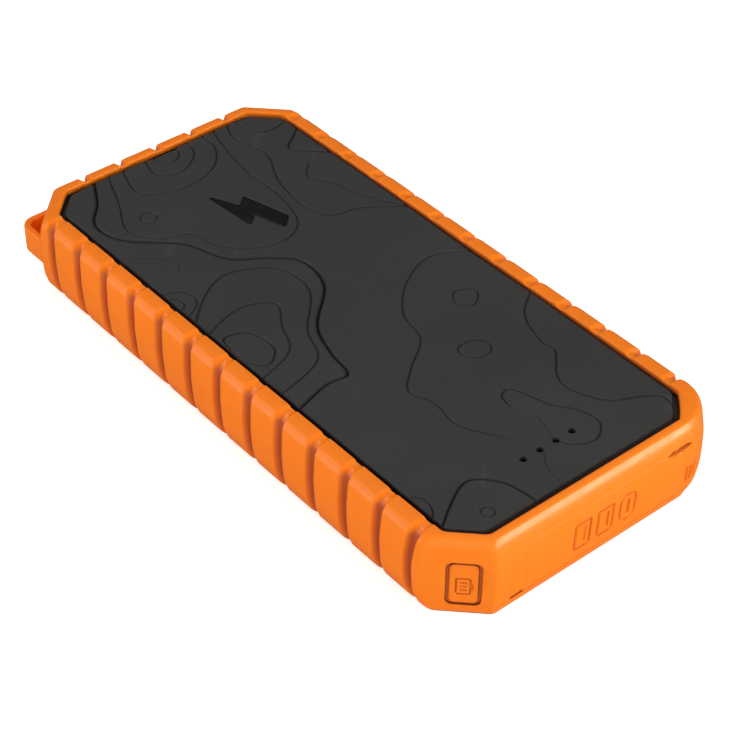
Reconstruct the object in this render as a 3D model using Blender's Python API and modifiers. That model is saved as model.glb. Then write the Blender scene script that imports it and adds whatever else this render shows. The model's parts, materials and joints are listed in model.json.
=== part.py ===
"""Rugged power bank: a sealed plastic case in a ribbed rubber bumper.

Lengths are in millimetres and are scaled to metres when the meshes are made.
+X runs to the end with the charging ports (the front), +Z is up, and the origin is the
middle of the underside, on the plane the power bank rests on. The port door's rounded
corner is the front one on the +Y side; the button is on the front corner on the -Y side.
"""
import math

import bmesh
import bpy
from mathutils import Matrix, Vector

MM = 0.001
ROOT2 = math.sqrt(2.0)

# ---------------------------------------------------------------- shared dimensions (mm)
PANEL_HALF_WIDTH = 35.7       # dark top panel, an octagon seen from above
PANEL_BACK = -80.4
PANEL_FRONT = 82.0
PANEL_CHAMFER = 6.4           # leg of its 45 degree corners
PANEL_TOP = 22.5
GAP = 0.3                     # running gap between neighbouring pieces

TAB_X, TAB_Y = 75.2, 29.9     # centre of the round corner under the door's tab
DOOR_Z0, DOOR_Z1 = 2.4, 17.5

# Port bezel; the case window is larger by the gap
BEZEL_Y0, BEZEL_Y1 = -18.5, 27.5
BEZEL_Z0, BEZEL_Z1 = 5.3, 15.1

BOARD_BOTTOM, BOARD_TOP = 6.4, 8.0
COMPONENT_Z = BOARD_TOP + GAP            # underside of everything on the board

LED_X = 70.4
LED_PLACES = [(LED_X, 0.3 + k * 2.54) for k in (-3, -1, 1, 3)]
CASE_POSTS = [(-77.2, -22.0), (-77.2, 22.0), (56.5, -33.3), (56.5, 33.3)]   # back two first
BOARD_POSTS = [(76.0, 28.6), (58.5, -24.0)]
POST_RADIUS, POST_SIDES = 2.5, 14        # posts at the case screws
PILOT_RADIUS, PILOT_SIDES = 1.3, 12      # screw holes in them

# ---------------------------------------------------------------- materials
MATERIAL_LOOKS = {
    "orange_rubber": dict(color=(1.0, 0.22, 0.03), roughness=0.55),
    "dark_plastic": dict(color=(0.045, 0.045, 0.047), roughness=0.6),
    "black_plastic": dict(color=(0.02, 0.02, 0.022), roughness=0.5),
    "black_rubber": dict(color=(0.03, 0.03, 0.03), roughness=0.8),
    "steel": dict(color=(0.6, 0.6, 0.62), roughness=0.3, metallic=1.0),
    "tongue_plastic": dict(color=(0.05, 0.25, 0.6), roughness=0.4),
    "board_green": dict(color=(0.02, 0.16, 0.06), roughness=0.4),
    "ferrite": dict(color=(0.1, 0.1, 0.11), roughness=0.7),
    "led_lens": dict(color=(0.9, 0.9, 0.85), roughness=0.2),
    "clear_plastic": dict(color=(0.75, 0.78, 0.8), roughness=0.15, alpha=0.6),
    "capacitor_can": dict(color=(0.7, 0.7, 0.7), roughness=0.3, metallic=1.0),
    "cell_foil": dict(color=(0.55, 0.57, 0.6), roughness=0.35, metallic=1.0),
    "foam": dict(color=(0.05, 0.05, 0.05), roughness=0.95),
    "nickel": dict(color=(0.7, 0.68, 0.62), roughness=0.3, metallic=1.0),
    "wire_red": dict(color=(0.6, 0.02, 0.02), roughness=0.5),
    "wire_black": dict(color=(0.02, 0.02, 0.02), roughness=0.5),
    "frame_plastic": dict(color=(0.3, 0.3, 0.31), roughness=0.6),
}


def make_material(name, color, roughness, metallic=0.0, alpha=1.0):
    material = bpy.data.materials.new(name)
    material.use_nodes = True
    inputs = material.node_tree.nodes["Principled BSDF"].inputs
    inputs["Base Color"].default_value = (*color, 1.0)
    inputs["Roughness"].default_value = roughness
    inputs["Metallic"].default_value = metallic
    inputs["Alpha"].default_value = alpha
    material.diffuse_color = (*color, alpha)
    return material


# ---------------------------------------------------------------- scene
for old in list(bpy.data.objects):
    bpy.data.objects.remove(old, do_unlink=True)

parts = bpy.data.collections.new("power_bank")
tools = bpy.data.collections.new("cutters")
bpy.context.scene.collection.children.link(parts)
bpy.context.scene.collection.children.link(tools)
materials = {name: make_material(name, **look) for name, look in MATERIAL_LOOKS.items()}


# ---------------------------------------------------------------- mesh helpers
def mesh_object(name, bm, mat=None, smooth=True):
    """Make an object; one without a material is a hidden helper for booleans."""
    for v in bm.verts:
        v.co *= MM
    mesh = bpy.data.meshes.new(name)
    bm.to_mesh(mesh)
    bm.free()
    ob = bpy.data.objects.new(name, mesh)
    if mat:
        parts.objects.link(ob)
        mesh.materials.append(materials[mat])
    else:
        tools.objects.link(ob)
        ob.hide_render = True
        ob.display_type = "WIRE"
    if smooth:
        mesh.shade_smooth()
        mesh.set_sharp_from_angle(angle=math.radians(35))
    return ob


def boxes(name, corner_pairs, mat=None, basis=None):
    """Boxes between pairs of opposite corners, optionally in a turned frame."""
    bm = bmesh.new()
    for low, high in corner_pairs:
        size = [h - l for l, h in zip(low, high)]
        middle = [(h + l) / 2 for l, h in zip(low, high)]
        placing = Matrix.Translation(middle) @ Matrix.Diagonal((*size, 1.0))
        if basis:
            placing = basis @ placing
        made = bmesh.ops.create_cube(bm, size=1.0)["verts"]
        bmesh.ops.transform(bm, matrix=placing, verts=made)
    return mesh_object(name, bm, mat)


def box(name, low, high, mat=None, basis=None):
    return boxes(name, [(low, high)], mat, basis)


def cylinders(name, groups):
    """Helper of upright cylinders; a group is places, bottom, top, radius, sides."""
    bm = bmesh.new()
    for places, z0, z1, radius, sides in groups:
        for x, y in places:
            made = bmesh.ops.create_cone(bm, cap_ends=True, segments=sides, radius1=radius,
                                         radius2=radius, depth=z1 - z0)["verts"]
            bmesh.ops.translate(bm, verts=made, vec=(x, y, (z0 + z1) / 2))
    return mesh_object(name, bm)


def round_edges(ob, width):
    mod = ob.modifiers.new("round", "BEVEL")
    mod.width = width * MM
    mod.segments = 2
    mod.limit_method = "ANGLE"


def bevel_edges_along(ob, direction, width, segments):
    """Round, in the mesh itself, only the edges that run in one direction."""
    bm = bmesh.new()
    bm.from_mesh(ob.data)
    edges = [e for e in bm.edges
             if abs((e.verts[0].co - e.verts[1].co).normalized().dot(direction)) > 0.9]
    bmesh.ops.bevel(bm, geom=edges, offset=width * MM, segments=segments, profile=0.5,
                    affect="EDGES", offset_type="OFFSET")
    bm.to_mesh(ob.data)
    bm.free()


def boolean(ob, others, operation):
    for other in others:
        mod = ob.modifiers.new(operation.lower() + "_" + other.name, "BOOLEAN")
        mod.operation = operation
        mod.solver = "EXACT"
        mod.object = other


def cut(ob, *others):
    boolean(ob, others, "DIFFERENCE")


def join(ob, *others):
    boolean(ob, others, "UNION")


def add_axis(name, point, children):
    """An empty that the children move with; they take up its offset and stay put."""
    axis = bpy.data.objects.new(name, None)
    parts.objects.link(axis)
    axis.location = Vector(point) * MM
    for ob in children:
        ob.parent = axis
        ob.location = -Vector(axis.location)
    return axis


def loft(rings, closed=False):
    """Skin a stack of rings. A closed loft joins the last ring to the first;
    an open one is capped at both ends."""
    bm = bmesh.new()
    rows = [[bm.verts.new(p) for p in ring] for ring in rings]
    count = len(rows[0])
    pairs = list(zip(rows, rows[1:]))
    if closed:
        pairs.append((rows[-1], rows[0]))
    for low, high in pairs:
        for i in range(count):
            j = (i + 1) % count
            bm.faces.new((low[i], low[j], high[j], high[i]))
    if not closed:
        bm.faces.new(list(reversed(rows[0])))
        bm.faces.new(rows[-1])
    bmesh.ops.recalc_face_normals(bm, faces=bm.faces)
    return bm


def level(outline, z):
    """A flat outline set at a height."""
    return [(x, y, z) for x, y in outline]


# Turns an outline's x, y into world Y, Z
OUTLINE_FACING_X = Matrix(((0, 0, 1, 0), (1, 0, 0, 0), (0, 1, 0, 0), (0, 0, 0, 1)))


def flat_outline(name, outlines, low, high, mat, facing_x=False):
    """Flat outlines (the second one a hole), filled and extruded along Z or X.
    The object's origin is halfway through the thickness."""
    curve = bpy.data.curves.new(name, "CURVE")
    curve.dimensions = "2D"
    curve.fill_mode = "BOTH"
    curve.extrude = (high - low) / 2 * MM
    for outline in outlines:
        spline = curve.splines.new("POLY")
        spline.points.add(len(outline) - 1)
        for point, (x, y) in zip(spline.points, outline):
            point.co = (x * MM, y * MM, 0, 1)
        spline.use_cyclic_u = True
    source = bpy.data.objects.new(name + "_outline", curve)
    parts.objects.link(source)
    depsgraph = bpy.context.evaluated_depsgraph_get()
    mesh = bpy.data.meshes.new_from_object(source.evaluated_get(depsgraph))
    bpy.data.objects.remove(source, do_unlink=True)
    mesh.name = name

    # the fill and the extruded sides come unjoined
    bm = bmesh.new()
    bm.from_mesh(mesh)
    bmesh.ops.remove_doubles(bm, verts=bm.verts, dist=1e-6)
    bmesh.ops.recalc_face_normals(bm, faces=bm.faces)
    bm.to_mesh(mesh)
    bm.free()

    ob = bpy.data.objects.new(name, mesh)
    parts.objects.link(ob)
    middle = (low + high) / 2 * MM
    if facing_x:
        ob.matrix_world = Matrix.Translation((middle, 0, 0)) @ OUTLINE_FACING_X
    else:
        ob.matrix_world = Matrix.Translation((0, 0, middle))
    mesh.materials.append(materials[mat])
    return ob


def turned(name, profile, place, mat, steps):
    """A turned piece: the profile of (radius, z) starts and ends on the axis and
    is spun about Z."""
    bm = bmesh.new()
    verts = [bm.verts.new((radius, 0, z)) for radius, z in profile]
    for a, b in zip(verts, verts[1:]):
        bm.edges.new((a, b))
    ob = mesh_object(name, bm, mat, smooth=False)
    ob.location = (place[0] * MM, place[1] * MM, 0)
    mod = ob.modifiers.new("turn", "SCREW")
    mod.steps = steps
    mod.render_steps = steps
    mod.use_merge_vertices = True
    mod.merge_threshold = 0.00001
    mod.use_smooth_shade = True


# ---------------------------------------------------------------- outlines
def corner_arc(before, corner, after, radius, steps):
    """Points that round a corner between its neighbours."""
    to_before = (Vector(before) - Vector(corner)).normalized()
    to_after = (Vector(after) - Vector(corner)).normalized()
    half = to_before.angle(to_after) / 2
    run = radius / math.tan(half)
    centre = Vector(corner) + (to_before + to_after).normalized() * (radius / math.sin(half))
    start = Vector(corner) + to_before * run - centre
    end = Vector(corner) + to_after * run - centre
    sweep = start.angle_signed(end)
    points = []
    for i in range(steps + 1):
        turn = -sweep * i / steps
        points.append((centre.x + start.x * math.cos(turn) - start.y * math.sin(turn),
                       centre.y + start.x * math.sin(turn) + start.y * math.cos(turn)))
    return points


def octagon(side, front, back, diag_front, diag_back):
    """Corners of the panel octagon grown by an offset on each kind of side.
    They run counterclockwise from above, from the back end of the -Y side:
    0-1 -Y side, 2-3 front, 4-5 +Y side, 6-7 back."""
    half_width = PANEL_HALF_WIDTH + side
    front_x = PANEL_FRONT + front
    back_x = -PANEL_BACK + back
    # |x| + |y| along the 45 degree faces
    front_sum = PANEL_FRONT + PANEL_HALF_WIDTH - PANEL_CHAMFER + diag_front * ROOT2
    back_sum = -PANEL_BACK + PANEL_HALF_WIDTH - PANEL_CHAMFER + diag_back * ROOT2
    return [(half_width - back_sum, -half_width), (front_sum - half_width, -half_width),
            (front_x, front_x - front_sum), (front_x, front_sum - front_x),
            (front_sum - half_width, half_width), (half_width - back_sum, half_width),
            (-back_x, back_sum - back_x), (-back_x, back_x - back_sum)]


def rounded_corner(corners, i, radius):
    return corner_arc(corners[i - 1], corners[i], corners[(i + 1) % 8], radius, 2)


# ---------------------------------------------------------------- bumper
# Outer skin: height, side offset, rib height, front offset, front corner offset, back
# corner offset, and how far the door's corner is rounded out (0 chamfer, 1 round)
BUMPER_PROFILE = [
    (0.0, 3.7, 0.6, 4.7, 3.9, 5.1, 0.40),
    (2.4, 4.6, 1.4, 5.1, 4.3, 5.5, 1.00),
    (7.3, 5.5, 1.9, 5.6, 4.8, 5.9, 0.95),
    (13.9, 5.8, 1.9, 5.8, 5.0, 6.1, 0.85),
    (18.2, 5.3, 1.9, 5.3, 4.8, 5.9, 0.80),
    (21.0, 4.6, 1.8, 4.5, 4.3, 5.4, 0.85),
    (22.5, 3.3, 1.5, 3.6, 3.2, 4.2, 0.90),
]
SKIN_TOP = BUMPER_PROFILE[-1][0]
BACK_SHIFT = -0.3             # the back end stands a little less proud than the sides
# Ungrooved rings: side, front, back and corner offsets
LIP = (1.2, 1.6, 1.7, 1.4)       # inner edge of the upper lip
INNER = (3.9, 3.5, 3.9, 2.5)     # inner wall
LOWER = (0.8, 0.9, 0.9, -0.45)   # opening in the lower lip
LIP_BOTTOM, LIP_TOP = 21.0, 22.9
LIP_BULGE = 0.15
LOWER_LIP_TOP = 1.4

SIDE_GROOVES = [(i - 6) * 12.0 for i in range(13)]
BACK_GROOVES = [0.6 + (i - 2) * 11.6 for i in range(5)]
GROOVE_TOP = 3.8              # groove width at the rib tops
GROOVE_FLOOR = 1.5            # and at its floor
GROOVE_DIP = 0.5              # how far the groove dips the lip
# Points across a groove: offset from its middle, and whether it lies on the floor
GROOVE_SECTION = [(-GROOVE_TOP / 2, False), (-GROOVE_FLOOR / 2, True),
                  (GROOVE_FLOOR / 2, True), (GROOVE_TOP / 2, False)]
GROOVE_LEAN = 2.1             # the grooves of the sides lean forward below the lip
LEAN_POWER = 6                # how late in the height the lean dies away
LEAN_FADE = 0.0058            # drop in the lean per mm of x
BACK_REACH = -1.8             # weight of the lean when the back end's reach is judged
SQUEEZE_FROM = 60.0           # grooves farther out than this may close up
STRAIGHT_MARGIN = 1.1         # plain length kept before a corner


def tab_corner(start, end, bulge, steps):
    """The door's corner: the chamfer from start to end, pushed out by the bulge
    towards a round corner."""
    points = []
    for i in range(steps + 1):
        s = i / steps
        angle = math.radians(90.0 * s)
        flat_x = start[0] + (end[0] - start[0]) * s
        flat_y = start[1] + (end[1] - start[1]) * s
        round_x = TAB_X + (start[0] - TAB_X) * math.cos(angle)
        round_y = TAB_Y + (end[1] - TAB_Y) * math.sin(angle)
        points.append((flat_x + (round_x - flat_x) * bulge,
                       flat_y + (round_y - flat_y) * bulge))
    return points


def fit_side_groove(x, z, corners):
    """Lean the grooves, and close them up where the straight of a ring is short."""
    lean = GROOVE_LEAN * (1 - (min(z, SKIN_TOP) / SKIN_TOP) ** LEAN_POWER)
    limit = (corners[1][0] if x > 0 else -corners[0][0]) - STRAIGHT_MARGIN
    end = SIDE_GROOVES[-1] + GROOVE_TOP / 2
    reach = end + lean * (1 - LEAN_FADE * end) * (1 if x > 0 else BACK_REACH)
    x += lean * (1 - LEAN_FADE * x)
    distance = abs(x)
    if reach > limit and distance > SQUEEZE_FROM:
        squeeze = (limit - SQUEEZE_FROM) / (reach - SQUEEZE_FROM)
        distance = SQUEEZE_FROM + (distance - SQUEEZE_FROM) * squeeze
    return math.copysign(distance, x)


def bumper_ring(z, side, rib, front, back, diag_front, diag_back, bulge, dip=0.0):
    """One ring of the bumper, with its grooves where rib is more than zero."""
    corners = octagon(side + rib, front, back + rib, diag_front, diag_back)
    floor_y = PANEL_HALF_WIDTH + side
    floor_x = -PANEL_BACK + back

    def corner(i):
        return level(rounded_corner(corners, i, radius=2.0), z)

    def side_run(sign):
        """The -Y side (sign -1) runs forward, the +Y side (sign 1) back."""
        points = []
        for middle in SIDE_GROOVES[::-sign]:
            for offset, on_floor in GROOVE_SECTION:
                x = fit_side_groove(middle - sign * offset, z, corners)
                y = sign * (floor_y if on_floor else floor_y + rib)
                points.append((x, y, z - dip if on_floor else z))
        return points

    def back_run():
        points = []
        for middle in reversed(BACK_GROOVES):
            for offset, on_floor in GROOVE_SECTION:
                x = -(floor_x if on_floor else floor_x + rib)
                points.append((x, middle - offset, z - dip if on_floor else z))
        return points

    tab = level(tab_corner(corners[3], corners[4], bulge, 8), z)
    return (corner(0) + side_run(-1) + corner(1) + corner(2) + tab
            + side_run(1) + corner(5) + corner(6) + back_run() + corner(7))


def plain_ring(z, offsets, dip=0.0, bulge=0.0):
    side, front, back, diag = offsets
    return bumper_ring(z, side, 0.0, front, back, diag, diag, bulge, dip)


def build_bumper_body():
    rings = [plain_ring(0.0, LOWER)]
    for z, side, rib, front, diag_front, diag_back, bulge in BUMPER_PROFILE:
        rings.append(bumper_ring(z, side, rib, front, side + BACK_SHIFT, diag_front,
                                 diag_back, bulge, GROOVE_DIP if z == SKIN_TOP else 0.0))
    rings += [
        plain_ring(LIP_TOP, LIP, GROOVE_DIP * 0.8, LIP_BULGE),
        plain_ring(LIP_BOTTOM, LIP, 0.0, LIP_BULGE),
        plain_ring(LIP_BOTTOM, INNER),
        plain_ring(LOWER_LIP_TOP, INNER),
        plain_ring(LOWER_LIP_TOP, LOWER),
    ]
    return mesh_object("bumper", loft(rings, closed=True), "orange_rubber")


LOOP_Z0, LOOP_Z1 = 8.0, 15.8
LOOP_X, LOOP_Y = -86.9, -42.4            # outer faces of the band
LOOP_END_X, LOOP_END_Y = -74.0, -28.0    # where its two legs end
LOOP_THICKNESS = 1.9
LOOP_RADIUS = 4.0


def build_carry_loop():
    """A flat band round the back corner on the -Y side."""
    def edge(start, corner, end, radius):
        return [start] + corner_arc(start, corner, end, radius, 4) + [end]

    in_x, in_y = LOOP_X + LOOP_THICKNESS, LOOP_Y + LOOP_THICKNESS
    outer = edge((LOOP_X, LOOP_END_Y), (LOOP_X, LOOP_Y), (LOOP_END_X, LOOP_Y), LOOP_RADIUS)
    inner = edge((LOOP_END_X, in_y), (in_x, in_y), (in_x, LOOP_END_Y),
                 LOOP_RADIUS - LOOP_THICKNESS)
    rings = [level(outer + inner, z) for z in (LOOP_Z0, LOOP_Z1)]
    return mesh_object("carry_loop_band", loft(rings))


# ---------------------------------------------------------------- port door outlines
DOOR_Y0 = -21.7               # the door's straight end
DOOR_SKIN_X = 86.0            # back of the skin
DOOR_TAB_ANGLE = 62.0         # how far the tab reaches round the corner
POCKET_DEPTH = 1.0            # pocket behind the back of the skin
POCKET_END_ANGLE = 1.4        # gap at the tab's end, in degrees
POCKET_REACH = 18.0           # radius that clears the bumper's outside


def profile_at(z):
    """The bumper profile's offsets, interpolated at a height."""
    low, high = next((a, b) for a, b in zip(BUMPER_PROFILE, BUMPER_PROFILE[1:])
                     if z <= b[0])
    f = (z - low[0]) / (high[0] - low[0])
    return tuple(p + (q - p) * f for p, q in zip(low[1:], high[1:]))


def on_ray(points, angle):
    """Where a line of points crosses a ray from the round corner's centre."""
    turns = [math.degrees(math.atan2(y - TAB_Y, x - TAB_X)) for x, y in points]
    i = next(i for i in range(len(points) - 1) if turns[i + 1] >= angle)
    f = max(0.0, (angle - turns[i]) / (turns[i + 1] - turns[i]))
    (x0, y0), (x1, y1) = points[i], points[i + 1]
    return x0 + (x1 - x0) * f, y0 + (y1 - y0) * f


def tab_arc(radius, angles):
    return [(TAB_X + radius * math.cos(math.radians(angle)),
             TAB_Y + radius * math.sin(math.radians(angle))) for angle in angles]


def tab_angles(end):
    return [end * i / 7 for i in range(8)]


def door_plan(outer, back_x, angles, start_y):
    """Close a plan outline: outer points out, inner skin back."""
    inner = tab_arc(back_x - TAB_X, angles)
    return [(outer[0][0], start_y)] + outer + inner[::-1] + [(back_x, start_y)]


def door_ring(z):
    """The door's section, its outside following the bumper skin."""
    side, rib, front, diag_front, diag_back, bulge = profile_at(z)
    corners = octagon(side + rib, front, side + rib, diag_front, diag_back)
    skin = tab_corner(corners[3], corners[4], bulge, 90)
    angles = tab_angles(DOOR_TAB_ANGLE)
    outer = [on_ray(skin, angle) for angle in angles]
    return level(door_plan(outer, DOOR_SKIN_X, angles, DOOR_Y0), z)


def build_door_pocket():
    """Through the front wall, and shallow round the corner."""
    angles = tab_angles(DOOR_TAB_ANGLE + POCKET_END_ANGLE)
    plan = door_plan(tab_arc(POCKET_REACH, angles), DOOR_SKIN_X - POCKET_DEPTH, angles,
                     DOOR_Y0 - GAP)
    rings = [level(plan, z) for z in (DOOR_Z0 - GAP, DOOR_Z1 + GAP)]
    return mesh_object("door_pocket", loft(rings))


# ---------------------------------------------------------------- door hinge strap
# T shape seen from the front: the head's two ends in Y, then the stem's end
STRAP_HEAD_Y, STRAP_STEP_Y, STRAP_STEM_Y = -27.2, -25.3, -22.0
STRAP_HEAD_Z = (3.3, 16.6)
STRAP_STEM_Z = (4.4, 15.5)
SEAT_FRONT = 90.0


def build_strap_seat():
    """The two overlapping cutters of the T-shaped seat."""
    stem = box("strap_seat_stem", (84.8, STRAP_STEP_Y - 0.2, STRAP_STEM_Z[0] - GAP),
               (SEAT_FRONT, -21.0, STRAP_STEM_Z[1] + GAP))
    head = box("strap_seat_head", (84.9, STRAP_HEAD_Y - GAP, STRAP_HEAD_Z[0] - GAP),
               (SEAT_FRONT, STRAP_STEP_Y + GAP, STRAP_HEAD_Z[1] + GAP))
    return stem, head


def build_door_strap():
    (head_z0, head_z1), (stem_z0, stem_z1) = STRAP_HEAD_Z, STRAP_STEM_Z
    outline = [(STRAP_HEAD_Y, head_z0), (STRAP_STEP_Y, head_z0),
               (STRAP_STEP_Y, stem_z0), (STRAP_STEM_Y, stem_z0),
               (STRAP_STEM_Y, stem_z1), (STRAP_STEP_Y, stem_z1),
               (STRAP_STEP_Y, head_z1), (STRAP_HEAD_Y, head_z1)]
    flat_outline("door_strap", [outline], 85.55, 87.1, "orange_rubber", facing_x=True)


# ---------------------------------------------------------------- port door
HINGE_X, HINGE_Y = 87.2, -23.5
# Seal: y0, z0, y1, z1 of its outer and inner edges
SEAL_OUTER = (-19.2, 4.3, 28.2, 16.1)
SEAL_INNER = (-17.9, 5.6, 26.9, 14.8)


def rectangle(y0, z0, y1, z1):
    return [(y0, z0), (y1, z0), (y1, z1), (y0, z1)]


def build_port_door():
    rings = [door_ring(z) for z in (DOOR_Z0, 7.3, 13.9, DOOR_Z1)]
    door = mesh_object("port_door", loft(rings), "orange_rubber")
    # the boss on its back that fills the mouth of the ports
    boss = box("door_boss", (85.55, -17.6, 5.9), (86.4, 26.6, 14.5))
    join(door, boss)
    axis = add_axis("port_door_hinge_axis", (HINGE_X, HINGE_Y, (DOOR_Z0 + DOOR_Z1) / 2),
                    (door, boss))
    seal = flat_outline("door_seal", [rectangle(*SEAL_OUTER), rectangle(*SEAL_INNER)],
                        85.45, 85.75, "black_rubber", facing_x=True)
    # the seal keeps its own origin, so the parent inverse takes up the offset
    seal.parent = axis
    seal.matrix_parent_inverse = Matrix.Translation(-Vector(axis.location))


# ---------------------------------------------------------------- button and switch
# Corner frame: local X outwards along (1, -1), local Y along the corner face (1, 1),
# local Z up
CORNER_FRAME = Matrix(((1 / ROOT2, 1 / ROOT2, 0, 0), (-1 / ROOT2, 1 / ROOT2, 0, 0),
                       (0, 0, 1, 0), (0, 0, 0, 1)))
OUTWARDS = Vector((1 / ROOT2, -1 / ROOT2, 0))
BUTTON_Y, BUTTON_Z = 33.1, 9.8           # centre, in the corner frame
BUTTON_WIDTH, BUTTON_HEIGHT = 6.7, 11.9
BUTTON_BACK, BUTTON_FACE = 82.0, 83.2
STEM_HALF = 1.6
STEM_HOLE_HALF = 2.1
SWITCH_Z = BUTTON_Z + 0.2
PLUNGER_TIP = 78.4


def span(middle, half):
    return middle - half, middle + half


def corner_box(name, depths, half_width, heights, mat=None):
    """A box in the corner frame, centred across on the button."""
    y0, y1 = span(BUTTON_Y, half_width)
    return box(name, (depths[0], y0, heights[0]), (depths[1], y1, heights[1]), mat,
               CORNER_FRAME)


def button_shape(name, depths, grow, bevel, segments, mat=None):
    """The button's rounded outline, grown all round, between two depths."""
    ob = corner_box(name, depths, BUTTON_WIDTH / 2 + grow,
                    span(BUTTON_Z, BUTTON_HEIGHT / 2 + grow), mat)
    bevel_edges_along(ob, OUTWARDS, bevel, segments)
    return ob


def build_button_opening():
    window = button_shape("button_window", (79.0, 90.0), grow=0.55, bevel=1.6, segments=3)
    recess = button_shape("button_flange_recess", (79.0, 82.75), grow=1.3, bevel=1.8,
                          segments=2)
    return window, recess


def build_power_button():
    cap = button_shape("power_button", (BUTTON_BACK, BUTTON_FACE), grow=0.0, bevel=1.3,
                       segments=3, mat="orange_rubber")
    flange = button_shape("button_flange", (81.95, 82.45), grow=0.95, bevel=1.5, segments=2)
    stem = corner_box("button_stem", (78.75, 82.2), STEM_HALF, span(BUTTON_Z, STEM_HALF))
    join(cap, flange, stem)
    add_axis("power_button_axis", CORNER_FRAME @ Vector((BUTTON_FACE, BUTTON_Y, BUTTON_Z)),
             (cap, flange, stem))


def build_switch():
    body = corner_box("switch_body", (72.6, 76.2), 3.0, (COMPONENT_Z, 12.3),
                      "black_plastic")
    cut(body, corner_box("plunger_hole", (74.4, 78.0), 1.5, span(SWITCH_Z, 1.25)))
    plunger = corner_box("switch_plunger", (75.1, PLUNGER_TIP), 1.2, span(SWITCH_Z, 0.95),
                         "black_plastic")
    add_axis("switch_plunger_axis",
             CORNER_FRAME @ Vector((PLUNGER_TIP, BUTTON_Y, SWITCH_Z)), (plunger,))


def build_bumper():
    bumper = build_bumper_body()
    join(bumper, build_carry_loop())
    cut(bumper, build_door_pocket(), *build_strap_seat(), *build_button_opening())


# ---------------------------------------------------------------- case
# Offsets from the panel octagon: side and back, front, corners
CASE = (3.6, 3.2, 2.2)
FLUSH = (0.5, 0.6, -0.75)     # the floor that shows inside the bumper's lower lip
PANEL = (0.0, 0.0, 0.0)
PANEL_RADIUS = 2.5
WALL = 1.8
FLUSH_TOP = 1.7
FLOOR_TOP = 3.0
TUB_TOP = 16.6
GASKET_Z = (16.9, 17.6)
GASKET_INSETS = (0.3, 1.5)    # its outer and inner edges, in from the case's outside
LID_BOTTOM = 17.9
LID_FLANGE = 20.7
LID_UNDER = 20.9


def case_outline(shrink=0.0, offsets=CASE, radius=3.0):
    side, front, diag = (offset - shrink for offset in offsets)
    corners = octagon(side, front, side, diag, diag)
    return [point for i in range(8) for point in rounded_corner(corners, i, radius)]


def build_bottom_cover():
    flush = case_outline(offsets=FLUSH)
    outside = case_outline()
    inside = case_outline(WALL)
    rings = [level(flush, 0.0), level(flush, FLUSH_TOP), level(outside, FLUSH_TOP),
             level(outside, TUB_TOP), level(inside, TUB_TOP), level(inside, FLOOR_TOP)]
    cover = mesh_object("bottom_cover", loft(rings), "dark_plastic")
    join(cover, cylinders("tub_posts", [
        (CASE_POSTS, 2.6, 12.0, POST_RADIUS, POST_SIDES),
        (BOARD_POSTS, 2.6, BOARD_BOTTOM - GAP, 2.4, 14)]))
    post_holes = cylinders("post_holes", [
        (CASE_POSTS, 1.5, 13.0, PILOT_RADIUS, PILOT_SIDES),
        (BOARD_POSTS, 3.4, 8.0, 1.0, 12)])
    counterbores = cylinders("counterbores", [(CASE_POSTS, -1.0, 1.9, 2.45, 16)])
    port_window = box("port_window", (80.0, BEZEL_Y0 - GAP, BEZEL_Z0 - GAP),
                      (88.0, BEZEL_Y1 + GAP, BEZEL_Z1 + GAP))
    stem_hole = corner_box("stem_hole", (76.0, 84.0), STEM_HOLE_HALF,
                           span(BUTTON_Z, STEM_HOLE_HALF))
    cut(cover, post_holes, counterbores, port_window, stem_hole)


def build_gasket():
    flat_outline("case_gasket", [case_outline(inset) for inset in GASKET_INSETS],
                 *GASKET_Z, "black_rubber")


def build_top_cover():
    inside = case_outline(WALL)
    outside = case_outline()
    panel = case_outline(offsets=PANEL, radius=PANEL_RADIUS)
    rings = [level(inside, LID_UNDER - 1.0), level(inside, LID_BOTTOM),
             level(outside, LID_BOTTOM), level(outside, LID_FLANGE),
             level(panel, LID_FLANGE), level(panel, PANEL_TOP)]
    cover = mesh_object("top_cover", loft(rings), "dark_plastic")
    # the room over the cells, where the lid is thinner
    cut(cover, box("lid_room", (-73.6, -34.0, 17.0), (50.4, 34.0, LID_UNDER)))
    join(cover, cylinders("lid_posts", [(CASE_POSTS, 12.3, 20.4, POST_RADIUS, POST_SIDES)]))
    cut(cover, cylinders("lid_holes", [
        (CASE_POSTS, 11.0, 17.8, PILOT_RADIUS, PILOT_SIDES),
        (LED_PLACES, 16.0, 24.0, 0.95, 16)]))


# ---------------------------------------------------------------- port bezel and sockets
USB_A_PLACES = (-10.5, 5.5)   # middles in Y
USB_C_PLACE = 19.5
SHELL_FRONT = 84.5
USB_A = dict(width=13.2, height=5.7, back=72.4, wall=0.35, tongue_half=5.6,
             tongue_z=(3.0, 4.7), tongue_setback=1.2, tongue_mat="tongue_plastic")
USB_C = dict(width=9.0, height=3.3, back=76.4, wall=0.3, tongue_half=3.3,
             tongue_z=(1.3, 2.0), tongue_setback=0.9, tongue_mat="black_plastic",
             bevels=(1.4, 1.1))


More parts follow.
